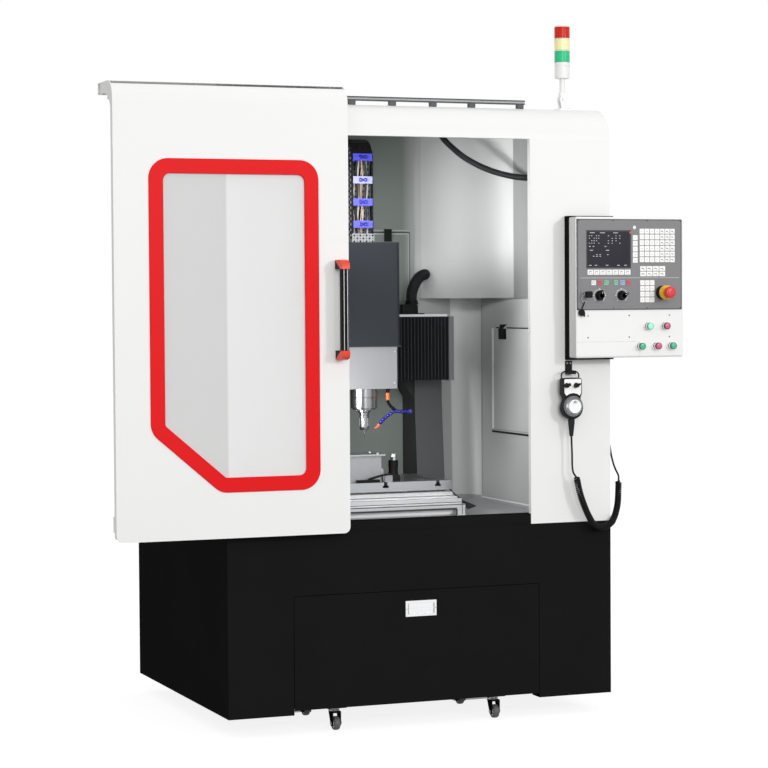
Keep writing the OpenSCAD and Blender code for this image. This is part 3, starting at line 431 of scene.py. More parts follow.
def dress(name, main, *patches):
    """Material of a CAD node, and of its faces whose middle lies in a box (x, d, z ranges in mm)."""
    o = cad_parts[name]
    o.data.materials.clear()
    o.data.materials.append(main)
    for i, (mat, *ranges) in enumerate(patches, 1):
        o.data.materials.append(mat)
        for f in o.data.polygons:
            c = (f.center.x * 1000, (f.center.y - FRONT) * 1000, f.center.z * 1000)
            if all(lo <= v <= hi for v, (lo, hi) in zip(c, ranges)):
                f.material_index = i


# --- the pendant's cord
LEAD = [(569, -42, 1038), (570, -42, 1010), (571, -43, 970), (571, -44, 932), (572, -47, 911),
        (576, -49, 899), (583, -50, 890)]
COIL = [(583, -50, 890), (589, -50, 872), (595, -50, 844), (605, -50, 810), (621, -49, 771),
        (640, -46, 735), (660, -43, 708), (684, -41, 696), (717, -38, 701), (742, -26, 713),
        (752, -18, 721), (771, -2, 745), (786, 12, 777), (796, 26, 814), (800, 32, 864)]
TAIL = [(800, 32, 864), (804, 38, 875), (807, 52, 886), (808, 72, 901), (808, 91, 924),
        (808, 106, 951), (808, 117, 980), (805, 120, 1000), (796, 120, 1013), (780, 120, 1018)]
CORD_R, HELIX_R, HELIX_PITCH = 0.0035, 0.0094, 0.0077
TURN_POINTS, OPENING = 14, 16  # points in a turn, and in the turns' way out of the straight cord

spine = even(curved(24, *COIL), HELIX_PITCH / TURN_POINTS)
helix = []
turn = 0.0
for i, (p, (u, v)) in enumerate(zip(spine, frames(spine))):
    near_end = min(1, i / OPENING, (len(spine) - 1 - i) / OPENING)
    grow = near_end * near_end * (3 - 2 * near_end)
    turn += 2 * pi / TURN_POINTS * grow
    helix.append(p + (u * cos(turn) + v * sin(turn)) * HELIX_R * grow)
line = curved(4, *LEAD)[:-1] + helix + curved(3, *TAIL)[1:]
curve = bpy.data.curves.new("pendant_cord", "CURVE")
curve.dimensions = "3D"
curve.bevel_depth = CORD_R
curve.bevel_resolution = 2
curve.use_fill_caps = True
spline = curve.splines.new("POLY")
spline.points.add(len(line) - 1)
for q, p in zip(spline.points, line):
    q.co = (*p, 1)
curve.materials.append(cord_rubber)
cord = put("pendant_cord", curve)
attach(cord, "machine")
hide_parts("pendant_lead", "pendant_coil", "pendant_tail")

relief = Piece("strain_relief")
ridges = [(6.5 + 0.11 * h + (0.6 if i % 2 else 0), h) for i, h in enumerate(range(4, 44, 3))]
relief.turned((569, -42, 1038), [
    (4.4, 0), (6.4, 1), *ridges, (11.6, 45), (12.4, 47), (12.4, 63.8)], rubber, axis=UP)
for x, profile, mat, n in (
        (750, [(14, 0.1), (14, 3), (13.2, 4)], plastic, 32),
        (754, [(13.6, 0), (13.6, 4.4)], plastic, 6),
        (758.4, [(12, 0), (11.4, 3), (9.4, 8), (8.6, 9), (7.6, 14), (6.6, 19), (4.4, 21.4)],
         plastic, 24)):
    relief.turned((x, 120, 1018), profile, mat, n, (1, 0, 0))
relief = relief.done("machine", "cord_glands", slot="black_plastic")

# --- CAD nodes that keep their shape
any_height = (700, 2300)
for name, mat in (
        ("base_shell", black), ("levelling_mounts", zinc), ("cabinet_front", white),
        ("cabinet_panels", white), ("control_frame", black), ("head_cover", slate),
        ("head_block", silver), ("way_cover", leaf_steel), ("x_screw", steel),
        ("y_screw", steel), ("z_screw", steel), ("window_glass", glass), ("cart_body", black),
        ("rear_door", white)):
    dress(name, mat)
dress("bed_casting", casting, (steel, (-205, 205), (290, 950), (773, 800)),
      (black, (-41, 41), (959, 1053), (720, 805)))
# On the gantry, the top cover plate is near white: a painted highlight on steel.
dress("gantry", casting, (pale_trim_and_highlight, (-400, 400), (700, 1001), (1477, 1490)),
      (steel, (-400, 400), (745, 769.9), (1279, 1441)),
      (casting_dark, (236, 297.5), (680, 1200), (740, 1292)),
      (casting_dark, (-297.5, -236), (680, 1200), (740, 1292)),
      (grey_cast, (-412, -389), (680, 772), (1220, 1479)),
      (grey_cast, (389, 412), (680, 772), (1220, 1479)),
      (black, (-530, -414), (700, 790), (1310, 1410)))
# The lining: painted shade on the hood's flat face and on the rear wall, painted light on the
# rounded corner, and three black patches.
dress("lining", lining_mat, (hood_strip_shade, (588, 592), (135, 505), (1560, 2246)),
      (rear_wall_painted_shade_and_light, (-505, 505), (935, 960), any_height),
      (corner_painted_light, (505.5, 600), (849.5, 951), any_height),
      (plastic, (579, 590), (583, 642), (1386, 1446)),
      (plastic, (-250, -215), (929, 941), (1778, 1829)),
      (plastic, (215, 250), (929, 941), (1778, 1829)))
dress("splash_tray", tray_mat, (leaf_steel, (-271, 271), (249, 286), (736, 780)),
      (leaf_steel, (-270, 270), (284, 411), (764, 797)))
dress("roof_rail", rail_steel, (rail_foot, (-720, 460), (90, 180), (2250, 2263)))
dress("x_carriage", casting, (steel, (-150, 30), (600, 766), (1200, 1452)),
      (black, (-110, -10), (550, 641), (1641, 1740)))
dress("work_table", steel, (brushed, (-260, 260), (345, 476), (800, 823)))
dress("door_shell", white, (zinc, (-656, -632), (100, 125), (2270, 2302)),
      (zinc, (-376, -352), (100, 125), (2270, 2302)))

# --- door: band and handle
DOOR_L, DOOR_B, DOOR_T = -1164, 719, 2303
PANE_L, PANE_R, PANE_B, PANE_T = DOOR_L + 124, DOOR_L + 742, DOOR_B + 160, DOOR_T - 266
CUT_X, CUT_Z = 250, 214  # the window's cut corner


def corner(p, a, b, r, n=12):
    """A corner between the ways to two other points, rounded."""
    p, a, b = Vector(p), Vector(a), Vector(b)
    u, v = (a - p).normalized(), (b - p).normalized()
    half = u.angle(v) / 2
    centre = p + (u + v).normalized() * r / sin(half)
    s, e = p + u * r / tan(half) - centre, p + v * r / tan(half) - centre
    return [centre + s.slerp(e, i / n, s).normalized() * r if i not in (0, n)
            else centre + (s, e)[i == n] for i in range(n + 1)]


def window(inset, r):
    """The window's outline, drawn in by an inset."""
    k = hypot(CUT_X, CUT_Z)
    across, rise = CUT_Z / k, CUT_X / k
    low_z = PANE_B + CUT_Z + inset * (1 - across) / rise
    low_x = PANE_L + (inset + rise * (CUT_Z - inset)) / across
    p = [(low_x, PANE_B + inset), (PANE_R - inset, PANE_B + inset), (PANE_R - inset, PANE_T - inset),
         (PANE_L + inset, PANE_T - inset), (PANE_L + inset, low_z)]
    out = []
    for i in range(5):
        blunt = i in (0, 4) and r < 60
        out += corner(p[i], p[i - 1], p[(i + 1) % 5], r * 0.6 if blunt else r)
    return out


band = Piece("window_band")
section = [(0, 70, -60), (0, 70, -62.6), (1.4, 68.6, -64), (50.6, 26.4, -64), (52, 25, -62.6),
           (52, 25, -57.2), (40.4, 30, -57.2), (40.4, 30, -60)]
loops = [[P(x, d, z) for x, z in window(inset, r)] for inset, r, d in section]
band.rings(loops + [loops[0]], red_band, caps=False)
bmesh.ops.remove_doubles(band.bm, verts=band.bm.verts, dist=1e-6)
band.done("door", "window_frame", slot="red_trim")

handle = Piece("door_grip")
GRIP = -362
for s, z, z_in in ((1, 1688, 1655), (-1, 1335, 1368)):
    foot = [(-60, z - 5 * s), (-66, z - 5 * s), (-112, z_in), (-60, z_in)]
    cap = [(-60, z), (-104, z), (-123, z - 7 * s), (-130, z - 17 * s), (-130, z_in), (-112.6, z_in),
           (-66.2, z - 4.5 * s), (-60, z - 4.5 * s)]
    for outline, mat in ((foot[::s], plastic), (cap[::s], orange)):
        handle.prism(outline, "x", GRIP, GRIP + 30, mat, bevel=2.2)
grip = [(GRIP + 2, -102), (GRIP + 1, -106), (GRIP + 1, -121), (GRIP + 3, -126)]
for x in (GRIP + 8.5, GRIP + 21.5):
    grip += [(x + polar(5.2, a)[0], -123.5 - polar(4.5, a)[1]) for a in range(160, 19, -20)]
grip += [(GRIP + 27, -126), (GRIP + 29, -121), (GRIP + 29, -106), (GRIP + 28, -102)]
handle.prism(grip[::-1], "z", 1366, 1657, plastic)
for x in (GRIP + 8.5, GRIP + 21.5):
    handle.box(x - 1.1, x + 1.1, -128.6, -127, 1370, 1653, zinc, 0.3)
handle.done("door", "door_handle", slot="black_plastic")

# --- control box
BOX_L, BOX_R, BOX_B, BOX_T = 564, 1004, 1327, 1845
BOX, PLATE = -100, -104  # the front faces of the box and of the controller's plate
PLATE_L, PLATE_R, PLATE_B, PLATE_T = BOX_L, BOX_L + 433, 1503, 1837
box = Piece("control_housing")
rings = [[P(x, d, z) for x, z in round_rect(BOX_L + i, BOX_R - i, BOX_B + i, BOX_T - i,
                                            max(2.5, 6 - i), 6)]
         for i, d in ((0, -39), (0, -93), (1.2, -97), (4.5, -99.4), (8, BOX))]
# The sides in the grey of painted shade, then the front in white.
box.rings(rings[:2], box_side_painted_shade)
box.rings(rings[1:], box_white)
box.screws((610, 779, 946), [BOX], (1482, 1402), 2.6, 1.2, plate_edge)
box.strips(side_grey, (563.9, 822, BOX - 0.4, BOX + 1, 1385.6, 1386.6),
           (821.6, 822.4, BOX - 0.4, BOX + 1, 1332, 1386))
box.done("machine", "control_box", slot="grey_paint")

panel = Piece("controller")
for levels, mat in ((((0, BOX), (0, PLATE + 1.2)), plate_edge),
                    (((0, PLATE + 1.2), (1.2, PLATE)), panel_grey)):
    panel.block("d", PLATE_L, PLATE_R, PLATE_B, PLATE_T, 3, levels, mat, 3)


def on_plate(mat, out, *spans, into=0.2):
    """Marks (x0, x1, z0, z1) that stand out of the controller's plate."""
    panel.strips(mat, *((x0, x1, PLATE - out, PLATE + into, z0, z1) for x0, x1, z0, z1 in spans))


left, right, low, high = PLATE_L + 1.4, PLATE_R - 1.4, PLATE_B + 1.4, PLATE_T - 1.4
on_plate(plate_edge, 0.3, (left, left + 2.8, low, high), (right - 2.8, right, low, high),
         (left, right, high - 2.2, high), (left, right, low, low + 2.2))
panel.box(602, 785, PLATE - 0.8, PLATE + 0.5, 1656, 1796, plate_edge, 0.6)
panel.box(606, 780, PLATE - 1.4, PLATE + 0.5, 1661, 1791, screen, 0.4)


def keys(x0, x1, z0, z1, columns, rows, mat=key_white):
    """A field of keys with a plain mark on each."""
    wide, tall = (x1 - x0) / columns, (z1 - z0) / rows
    for i in range(columns):
        for k in range(rows):
            x, z = x0 + i * wide, z0 + k * tall
            panel.box(x + 1.3, x + wide - 1.3, PLATE - 1.9, PLATE + 0.3,
                      z + 1.3, z + tall - 1.3, mat, 0.7)
            x, z = x + wide / 2, z + tall / 2
            dark, grey = [], []
            if rows == 1:
                dark = [(x - 5, x - 3.6, z - 5, z + 5), (x - 2, x + 4.6, z + 2.4, z + 4.4),
                        (x + 1, x + 4.6, z - 4.6, z - 2.4)]
            elif columns == 4 or i > 3:
                dark = [(x - wide * 0.26, x + wide * 0.12, z - 0.9, z + 1.6)]
                grey = [(x + wide * 0.02, x + wide * 0.26, z - 4, z - 2.6)]
            else:
                grey = [(x - wide * 0.14, x + wide * 0.12, z - 0.9, z + 0.5)]
            on_plate(plate_edge, 2.05, *dark, into=-1.8)
            on_plate(panel_grey, 2.05, *grey, into=-1.8)


keys(605, 783, 1631, 1652, 7, 1)
keys(791, 813, 1675, 1779, 1, 5)
keys(819, 967, 1677, 1803, 7, 6)
keys(821, 927, 1625, 1665, 4, 2)
keys(821, 882, 1529, 1613, 3, 4)
for x0, x1, mat in ((621, 641, key_white), (646, 667, key_red), (673, 693, key_green),
                    (713, 731, key_green), (739, 759, key_blue), (765, 784, key_red)):
    keys(x0, x1, 1593, 1613, 1, 1, mat)
on_plate(mark_white, 0.35, (578, 984, 1620.2, 1621.4))
on_plate(grey_cast, 0.35, (578, 579, 1516, 1620), (578, 800, 1515, 1516))
panel.turned((799, PLATE, 1806), [(6.5, -0.5), (6.5, 1), (5.4, 2), (0.4, 2.2)], key_white, 24)
panel.box(778, 789, PLATE - 1.6, PLATE + 0.3, 1784, 1791, key_red, 0.5)
# Rows of bars on the screen: height, left end, number and width
for row, (z, x0, n, wide) in enumerate((
        (1786, 616, 3, 22), (1775, 612, 9, 5), (1766, 612, 9, 5), (1757, 612, 9, 5),
        (1748, 612, 9, 5), (1736, 612, 4, 8), (1722, 616, 3, 14), (1706, 628, 5, 7),
        (1700, 628, 4, 7), (1667, 612, 7, 12))):
    for i in range(n):
        x = x0 + i * (wide * 1.9 + (6 if i > n / 2 else 0))
        if x + wide < 777 and (row + i) % 4 != 3:
            on_plate(readout, 1.55, (x, x + wide * 0.9, z - 1.1, z + 1.1), into=-1.3)
panel.screws((571, 712, 851, 990), [PLATE], (1831, 1509), 2.2, 0.9, plate_edge)
KNOB_Z = 1556
KNOBS = ((655, "left_knob", "knob_left", 75), (746, "right_knob", "knob_right", 22))
for x, *_ in KNOBS:
    for a in range(-45, 226, 15):
        r = 25 if a % 45 else 27
        panel.aimed(x, KNOB_Z, a, [(20.5, -0.9), (r, -0.9), (r, 0.9), (20.5, 0.9)],
                    (PLATE + 0.15, PLATE - 0.35), key_white)
panel.done("machine", "controller_panel", "display", slot="panel_grey")

for x, body, node, pointer in KNOBS:
    knob = Piece(body + "_cap")
    knob.turned((x, PLATE - 1.3, KNOB_Z), [(17.6, 0), (17.6, 2.4), (16.4, 4.2), (13.6, 5)],
                knob_black)
    knob.turned((x, PLATE - 6, KNOB_Z), [(13.6, -0.5), (13.4, 10), (12.2, 14), (8, 15)],
                knob_black, 24)
    knob.aimed(x, KNOB_Z, pointer,
               [(-16, -8), (7, -8), (20.5, -2.4), (20.5, 2.4), (7, 8), (-16, 8)],
               (PLATE - 4.5, PLATE - 21), knob_black, 1.2)
    knob.aimed(x, KNOB_Z, pointer, [(6, -0.7), (17, -0.7), (17, 0.7), (6, 0.7)],
               (PLATE - 20.5, PLATE - 21.4), mark_white)
    knob.done(body, node, slot="black_plastic")


def middle(name):
    """The sideways place and the height of a CAD node's middle."""
    lo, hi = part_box(name)
    return (lo.x + hi.x) * 500, (lo.z + hi.z) * 500


fittings = Piece("fittings")
for body, node, colour in (
        ("mint_button", "button_mint", "mint"), ("upper_red_button", "button_red_upper", "red"),
        ("left_green_button", "button_green_left", "green"),
        ("lower_red_button", "button_red_lower", "red"),
        ("right_green_button", "button_green_right", "green")):
    x, z = middle(node)
    at = (x, BOX, z)
    fittings.turned(at, [(14.4, -0.5), (14.4, 2.2), (13.8, 3)], chrome)
    fittings.turned(at, [(13, 2.5), (13, 8), (12.6, 8.4)], plastic)
    fittings.turned(at, [(13.9, 7.6), (14, 8.6), (14, 13), (13, 15), (11.2, 15), (10.8, 14),
                         (10.8, 8.6)], chrome)
    cap = Piece(body + "_cap")
    rim, face = cap_mats[colour]
    cap.turned(at, [(10.4, 12.8), (10.4, 19.2), (12.6, 19.4), (12.8, 22.6), (12, 23.4),
                    (10, 23.6)], rim)
    cap.turned(at, [(10.2, 23), (10.2, 23.8), (9, 24.4), (0.5, 24.8)], face, 28)
    cap.done(body, node, slot=colour + "_button")
stop_x, stop_z = middle("estop_button")
stop_at = (stop_x, PLATE, stop_z)
fittings.turned(stop_at, [(25, -0.5), (25, 4), (23, 5), (23, 27), (24.6, 29), (24.6, 30)], plastic)
fittings.turned(stop_at, [(26, 30), (27, 32), (27, 44), (25.6, 46), (12, 46), (12, 40)],
                yellow, 40)
# The key switch's lock, the ring through its key, and a spare key on the ring
fittings.turned((600, PLATE, 1560), [(11, -0.5), (11, 5), (10, 7), (7, 8), (5, 8), (3.2, 7)], zinc)
ring = [P(590 + 13 * cos(a), PLATE - 12 - 4 * sin(a), 1545 + 15 * sin(a))
        for a in (2 * pi * i / 20 for i in range(19))]
fittings.tube(smooth_path(ring, 2), 1.1, zinc, 6)
fittings.tube(curved(4, (591, PLATE - 9, 1534), (586, PLATE - 7, 1520), (580, PLATE - 6, 1506)),
              2.2, knob_black, 8)
fittings.prism(arc(579, 1494, 12.6, 0, 300, 12) + [(590, 1478), (592, 1484)], "d", PLATE - 10,
               PLATE - 5, knob_black, 1)
fittings.done("machine", "panel_fittings", slot="chrome")

stop = Piece("estop_mushroom")
stop.turned(stop_at, [(9, 38), (9, 55), (16, 56), (19.4, 58.5), (21.6, 62.5), (22, 66),
                      (21.4, 71), (18.8, 75.5), (13, 77.3), (5, 77.6)], mushroom, 40)
arrow = [polar(r, a) for r, a in ((7, -14), (11, -11), (11, 18), (13, 24), (7, 30))]
for a in (90, 210, 330):
    stop.aimed(stop_x, stop_z, a, arrow, (PLATE - 77.2, PLATE - 78), key_red)
stop.done("estop", "estop_button", slot="red_button")

key = Piece("key_head")
key.turned((600, PLATE - 3.5, 1560), [(2.8, 0), (2.8, 5), (4.8, 5.2), (4.8, 11), (3, 12)], zinc, 16)
key.prism(round_rect(589, 611, 1548, 1572, 6), "d", PLATE - 34, PLATE - 15.4, knob_black, 2.4)
key.done("key", "switch_key", slot="black_plastic")

# --- hand pendant
CASE = -60  # the pendant's front face
DIAL_X, DIAL_Z = 568, 1150
pendant = Piece("pendant_case")
belly = [(569 + a, 1143 + b) for a, b in (polar(41, angle) for angle in range(148, 393, 9))]
outline = (arc(597, 1246, 8, 0, 90, 4) + arc(536, 1246, 8, 90, 180, 4)
           + [(528, 1196), (530, 1191), (536, 1184), (537, 1174)] + belly
           + [(600, 1174), (600, 1184), (603, 1191), (605, 1196)])
pendant.rings([[P(567 + (x - 567) * k, d, 1178 + (z - 1178) * k) for x, z in outline]
               for k, d in ((0.95, CASE + 34), (1, CASE + 31), (1, CASE + 4), (0.97, CASE + 0.8),
                            (0.94, CASE))], plastic)
label = [(533, 1198), (541, 1189), (553, 1196), (568, 1198.5), (583, 1196), (594, 1189),
         (600, 1197)] + arc(596, 1245, 5, 0, 90, 4) + arc(537, 1245, 5, 90, 180, 4)
pendant.prism(label, "d", CASE + 0.5, CASE - 0.5, key_white)
pendant.turned((DIAL_X, CASE, DIAL_Z), [(38.6, -0.5), (38.6, 2), (37, 3)], tread, 48)
for a in range(0, 360, 10):
    pendant.aimed(DIAL_X, DIAL_Z, a, [(33.5, -0.4), (36.5, -0.4), (36.5, 0.4), (33.5, 0.4)],
                  (CASE - 2.85, CASE - 3.25), mark_white)
for x, a in ((541, 200), (580, 25)):
    pendant.turned((x, CASE, 1227), [(9.4, -0.5), (9.4, 3), (8.4, 4), (8, 12), (6, 13)],
                   plastic, 24)
    pendant.aimed(x, 1227, a, [(-12, -5), (4, -5), (15, -1.6), (15, 1.6), (4, 5), (-12, 5)],
                  (CASE - 5, CASE - 16), plastic, 0.8)
pendant.done("machine", "pendant_body", slot="black_plastic")

wheel = Piece("pulse_wheel_disc")
dial = (DIAL_X, CASE - 3.3, DIAL_Z)
wheel.turned(dial, [(31.8, 0), (31.8, 2.4), (30.4, 3.6), (30, 5), (28.6, 8), (28.2, 9.4),
                    (26, 12.6), (25, 13.2), (24, 13)], zinc, 48)
wheel.turned(dial, [(24.4, 12), (24.4, 13.4), (23, 13.7), (16, 13.2), (0.4, 13)], dial_metal, 48)
wheel.turned((DIAL_X, CASE - 16.2, 1167), [(5, -1.5), (4.4, 2), (5, 9), (4, 12.4), (1, 12.8)],
             zinc, 20)
wheel.done("pulse_wheel", "handwheel", slot="zinc_steel")

hook = Piece("pendant_hook")
hook.prism([(0, 1267), (-38, 1267), (-38, 1280), (-35, 1280), (-35, 1276), (-4.5, 1276),
            (-4.5, 1315), (0, 1315)], "x", 564, 591, plastic, 1)
hook.screws((571, 584), [-4.5], [1307], 3)
hook.tube(curved(4, *((x, -32, z) for x, z in (
    (534, 1254), (533.5, 1264), (537, 1272), (549, 1277.6), (569, 1279), (589, 1277.6),
    (600, 1272), (604.5, 1264), (604, 1254)))), 2.6, plastic, 10)
hook.done("machine", "pendant_holder", slot="black_plastic")

# --- signal tower
TOWER_X, TOWER_D, HINGE_Z, LENS_Z, LENS_PITCH = 629, 150, 2292, 2430, 45
mast = Piece("tower_body")
for z, profile, mat, n in (
        (2316, [(10, 0), (10, 54)], white, 32),
        (2368, [(12, 0), (26.4, 2), (28, 4), (28.4, 48), (27.4, 49), (28.6, 50), (28.6, 62)],
         white, 48),
        (LENS_Z, [(8, 0), (8, 134)], hub, 16),
        *((LENS_Z + i * LENS_PITCH - 3, [(28.2, 0), (28.4, 2.9), (27, 3)], white, 48)
          for i in (1, 2, 3)),
        (2565, [(28.2, -0.1), (27.6, 1.4), (24, 2.6), (0.5, 3)], white, 48)):
    mast.turned((TOWER_X, TOWER_D, z), profile, mat, n, UP)
mast.turned((TOWER_X, TOWER_D - 17, HINGE_Z),
            [(6.4, 0), (6.4, 2.4), (4, 3), (4, 31), (6.4, 31.4), (6.4, 34)], zinc, 20, (0, 1, 0))
mast.prism(arc(TOWER_X, HINGE_Z, 11.5, 180, 360, 10)
           + [(TOWER_X + 10.4, 2318), (TOWER_X - 10.4, 2318)],
           "d", TOWER_D - 8, TOWER_D + 8, white, 1.2)
mast.done("tower", "tower_mast", slot="grey_paint")

lenses = Piece("tower_lens_stack")
SPOKES = 96  # round a lens, whose ribs are 24 shallow waves
for i, mat in enumerate(lens_mats):
    rings = []
    for h, r in ((0.3, 27.2), (1.2, 28.9), (40.8, 28.9), (41.7, 27.2)):
        rim = (polar(r + 0.12 * polar(1, 24 * 360 * k / SPOKES)[0], 360 * k / SPOKES)
               for k in range(SPOKES))
        rings.append([P(TOWER_X + a, TOWER_D + b, LENS_Z + i * LENS_PITCH + h) for a, b in rim])
    lenses.rings(rings, mat)
lenses.done("tower", "tower_lenses", slot="lamp_lenses")

foot = Piece("tower_foot")
foot.block("z", TOWER_X - 28, TOWER_X + 28, TOWER_D - 28, TOWER_D + 28, 7,
           ((0, 2250.2), (0, 2253.4), (1.4, 2255)), white)
foot.screws((TOWER_X - 20, TOWER_X + 20), (TOWER_D - 20, TOWER_D + 20), [2255], 3.4, 2, axis=UP)
cheek = arc(TOWER_X, HINGE_Z, 15, -20, 200, 16) + [
    (TOWER_X + dx, z) for dx, z in ((-9, 2262), (-14, 2254), (14, 2254), (9, 2262))]
for d0 in (TOWER_D - 14, TOWER_D + 9):
    foot.prism(cheek, "d", d0, d0 + 5, white, 0.8)
foot.done("machine", "tower_bracket", slot="zinc_steel")

# --- cart: pull and castors
pull = Piece("flush_pull")
pull.block("d", -77, 44, 399, 457, 3, (
    (0, 0), (0, -1), (1, -2), (8.4, -2), (9, -1.2), (10, 10), (14, 26)), chrome, 3)
for x in (-68, 31.5):
    pull.box(x, x + 3.5, -1.8, 24, 409, 447, zinc, 0.8)
pull.box(-67, 34, -1.6, 6, 427, 430.5, chrome, 0.8)
pull.screws((-73, 40), [-2], [428], 2.4, 1)
pull.done("cart", "cart_handle", slot="chrome")

WHEEL_R = 25


def tyre(piece, x, d):
    """A castor's wheel with its bearings and nuts, standing on the floor."""
    r, at = WHEEL_R, (x, d, WHEEL_R)
    half = [(r - 9.5, 9.6), (r - 8, 11), (r - 2.6, 10.4), (r - 0.7, 8), (r, 4)]
    left = (-1, 0, 0)
    piece.turned(at, [(4.2, 12.6), (8, 12.2), (6, 10), (2, 9.2), (r - 9.5, 9.3), (r - 8.2, 9.6)],
                 hub, axis=left)
    piece.turned(at, half + [(a, -h) for a, h in half[::-1]], tread, 48, left)
    for way in (left, (1, 0, 0)):
        piece.turned(at, [(r - 8.6, 8), (r - 8.6, 9.8), (r - 11, 10.2), (9, 9.4), (7.6, 12.8),
                          (3, 12.9)], hub, axis=way)
        piece.turned(at, [(4, 12), (4, 18), (6.4, 18), (6.4, 21), (3, 21.2)], zinc, 6, way)


for side, x in (("left", -333), ("right", 292)):
    fork = Piece("fork_" + side + "_pressed")
    fork.turned((x, 62, 68), [(14, -1), (19.6, 0), (20, 4), (18.6, 6), (19.6, 8), (19.6, 11.6)],
                zinc, axis=UP)
    cheek = [(76, 67), (34, 68), (33, 62), *arc(45, WHEEL_R, 11.5, 170, 370, 10), (72, 60)]
    for x0 in (x - 16.9, x + 13.1):
        fork.prism(cheek, "x", x0, x0 + 3.8, black, 0.8)
    fork.box(x - 16.8, x + 16.8, 35, 73, 62, 68, black, 1.6)
    fork.done("fork_" + side, "castor_fork_" + side, slot="black_paint")
    wheel = Piece("wheel_" + side + "_tyre")
    tyre(wheel, x, 45)
    wheel.done("wheel_" + side, "castor_wheel_" + side, slot="wheel_grey")
wheel = Piece("rear_tyres")
for x in (-333, 292):
    tyre(wheel, x, 370)
wheel.done("wheels_rear", "rear_wheels", slot="wheel_grey")

# --- head: spindle and coolant
SPINDLE_X, SPINDLE_D = -61, 450
spindle_axis = (SPINDLE_X, SPINDLE_D, 0)
cartridge = Piece("spindle_cartridge")
cartridge.turned(spindle_axis, [
    (20.2, 1131), (38, 1130.2), (43, 1131), (43.5, 1135.6), (48.6, 1136), (50, 1137.6),
    (50, 1176), (49.2, 1177), (49.2, 1179), (50, 1180), (50, 1210.8)], spindle_steel_painted_reflections, 64, UP)
for a, b in (polar(34, 60 * i + 20) for i in range(6)):
    cartridge.screws([SPINDLE_X + a], [SPINDLE_D + b], [1130.6], 3.6, 2.2, axis=DOWN)
cartridge.done("head", "spindle_housing", slot="bright_steel")
nose = Piece("spindle_nose")
nose.turned(spindle_axis, [
    (26, 1129), (26, 1123), (22, 1120.4), (18.5, 1119.6), (18.5, 1114), (16.6, 1113),
    (16.6, 1110), (18.5, 1109), (18.5, 1066), (17, 1060), (15, 1054), (3.2, 1054), (3, 1052),
    (3, 1038), (1.6, 1030), (0.5, 1024)], spindle_steel_painted_reflections, 48, UP)
for i in range(6):
    c, s = polar(1, 60 * i)
    slot = [(SPINDLE_X + c * a - s * b, SPINDLE_D + s * a + c * b)
            for a, b in ((16.3, -3.2), (16.3, 3.2), (18.9, 3.2), (18.9, -3.2))]
    nose.prism(slot, "z", 1068, 1100, zinc)
nose.done("rotor", "spindle_rotor", slot="bright_steel")


def beads(path, thin, swell):
    """A radius for each point of a path that swells once every five points."""
    return [thin + swell * abs(sin(pi * i / 5)) for i in range(len(path))]


coolant = Piece("coolant_nozzle")
coolant.turned((26, 425, 1211), [(10, 0), (10, 5), (7, 6), (7, 17)], plastic, 24, DOWN)
coolant.turned((26, 425, 1194), [
    (7, 0), (8, 1.4), (8, 12), (6.8, 14), (7.6, 16), (7.6, 26), (6.4, 28)], valve_orange, 24, DOWN)
inlet = even(curved(8, (26, 425, 1166), (28, 425, 1156), (36, 424, 1144), (46, 422, 1134),
                    (56, 421, 1126)), 0.0022)
coolant.tube(inlet, beads(inlet, 4.2, 2.6), knob_black)
coolant.prism(round_rect(110, 121, 411, 441, 4, 4), "z", 1114, 1128, blue_hose, 1)
hose = even(curved(12, (112, 420, 1119), (92, 420, 1121), (72, 420, 1121.5), (52, 421, 1123),
                   (36, 424, 1114), (20, 427, 1102), (7, 430, 1090), (-6, 433, 1075)), 0.0024)
coolant.tube(hose, beads(hose, 4.6, 3.2), blue_hose, 14)
tip = [P(-6, 433, 1075), P(-11, 434, 1068), P(-17, 435, 1063), P(-24, 435, 1060)]
coolant.tube(tip, [5.2, 4.6, 3.2, 2.4], valve_orange, 14)
coolant.done("head", "coolant_line", slot="blue_hose")

trim = Piece("head_trim")
trim.screws((-160, 38), [380], (1232, 1350), 4.5, 2.4)
trim.box(-79, 9, 515, 552, 1761, 1766, plate_edge, 0.8)
trim.box(-79, 9, 513, 516, 1761, 1797, fixture, 0.8)
for i in range(7):
    for k in range(3):
        trim.turned((-72 + i * 12.4, 513, 1768 + k * 11), [(4, -0.2), (4, 0.5), (2.8, 0.6)],
                    seam if (i + k) % 2 else plastic, 10)
trim.box(-182, -178, 366, 371, 1395, 1740, slate, 0.8)
trim.box(59, 63.5, 500, 552, 1376, 1756, slate, 0.8)
trim.strips(plate_edge, (-180, 58, 370.6, 560, 1369, 1372.6))
trim.done("head")

# --- cable chain
chain = Piece("cable_chain")
CHAIN_FRONT, CHAIN_BACK, CHAIN_FOOT, CHAIN_TOP, LINK = 532, 670, 1791, 2143, 21.0
CHAIN_L, CHAIN_R = -78, 9.5
FRONT_LINKS, ARCH_END = 15, 25  # links in the straight front run, and up to the end of the arch
bend_r = (CHAIN_BACK - CHAIN_FRONT) / 2
bend_z = CHAIN_TOP - bend_r
rise = bend_z - CHAIN_FOOT


def on_track(s):
    """The chain's middle line in setback and height, a distance from its lower front end."""
    if s < rise:
        return CHAIN_FRONT, CHAIN_FOOT + s
    turned = (s - rise) / bend_r
    if turned < pi:
        return (CHAIN_FRONT + bend_r - bend_r * cos(turned),
                bend_z + bend_r * sin(turned))
    return CHAIN_BACK, bend_z - (s - rise - pi * bend_r)


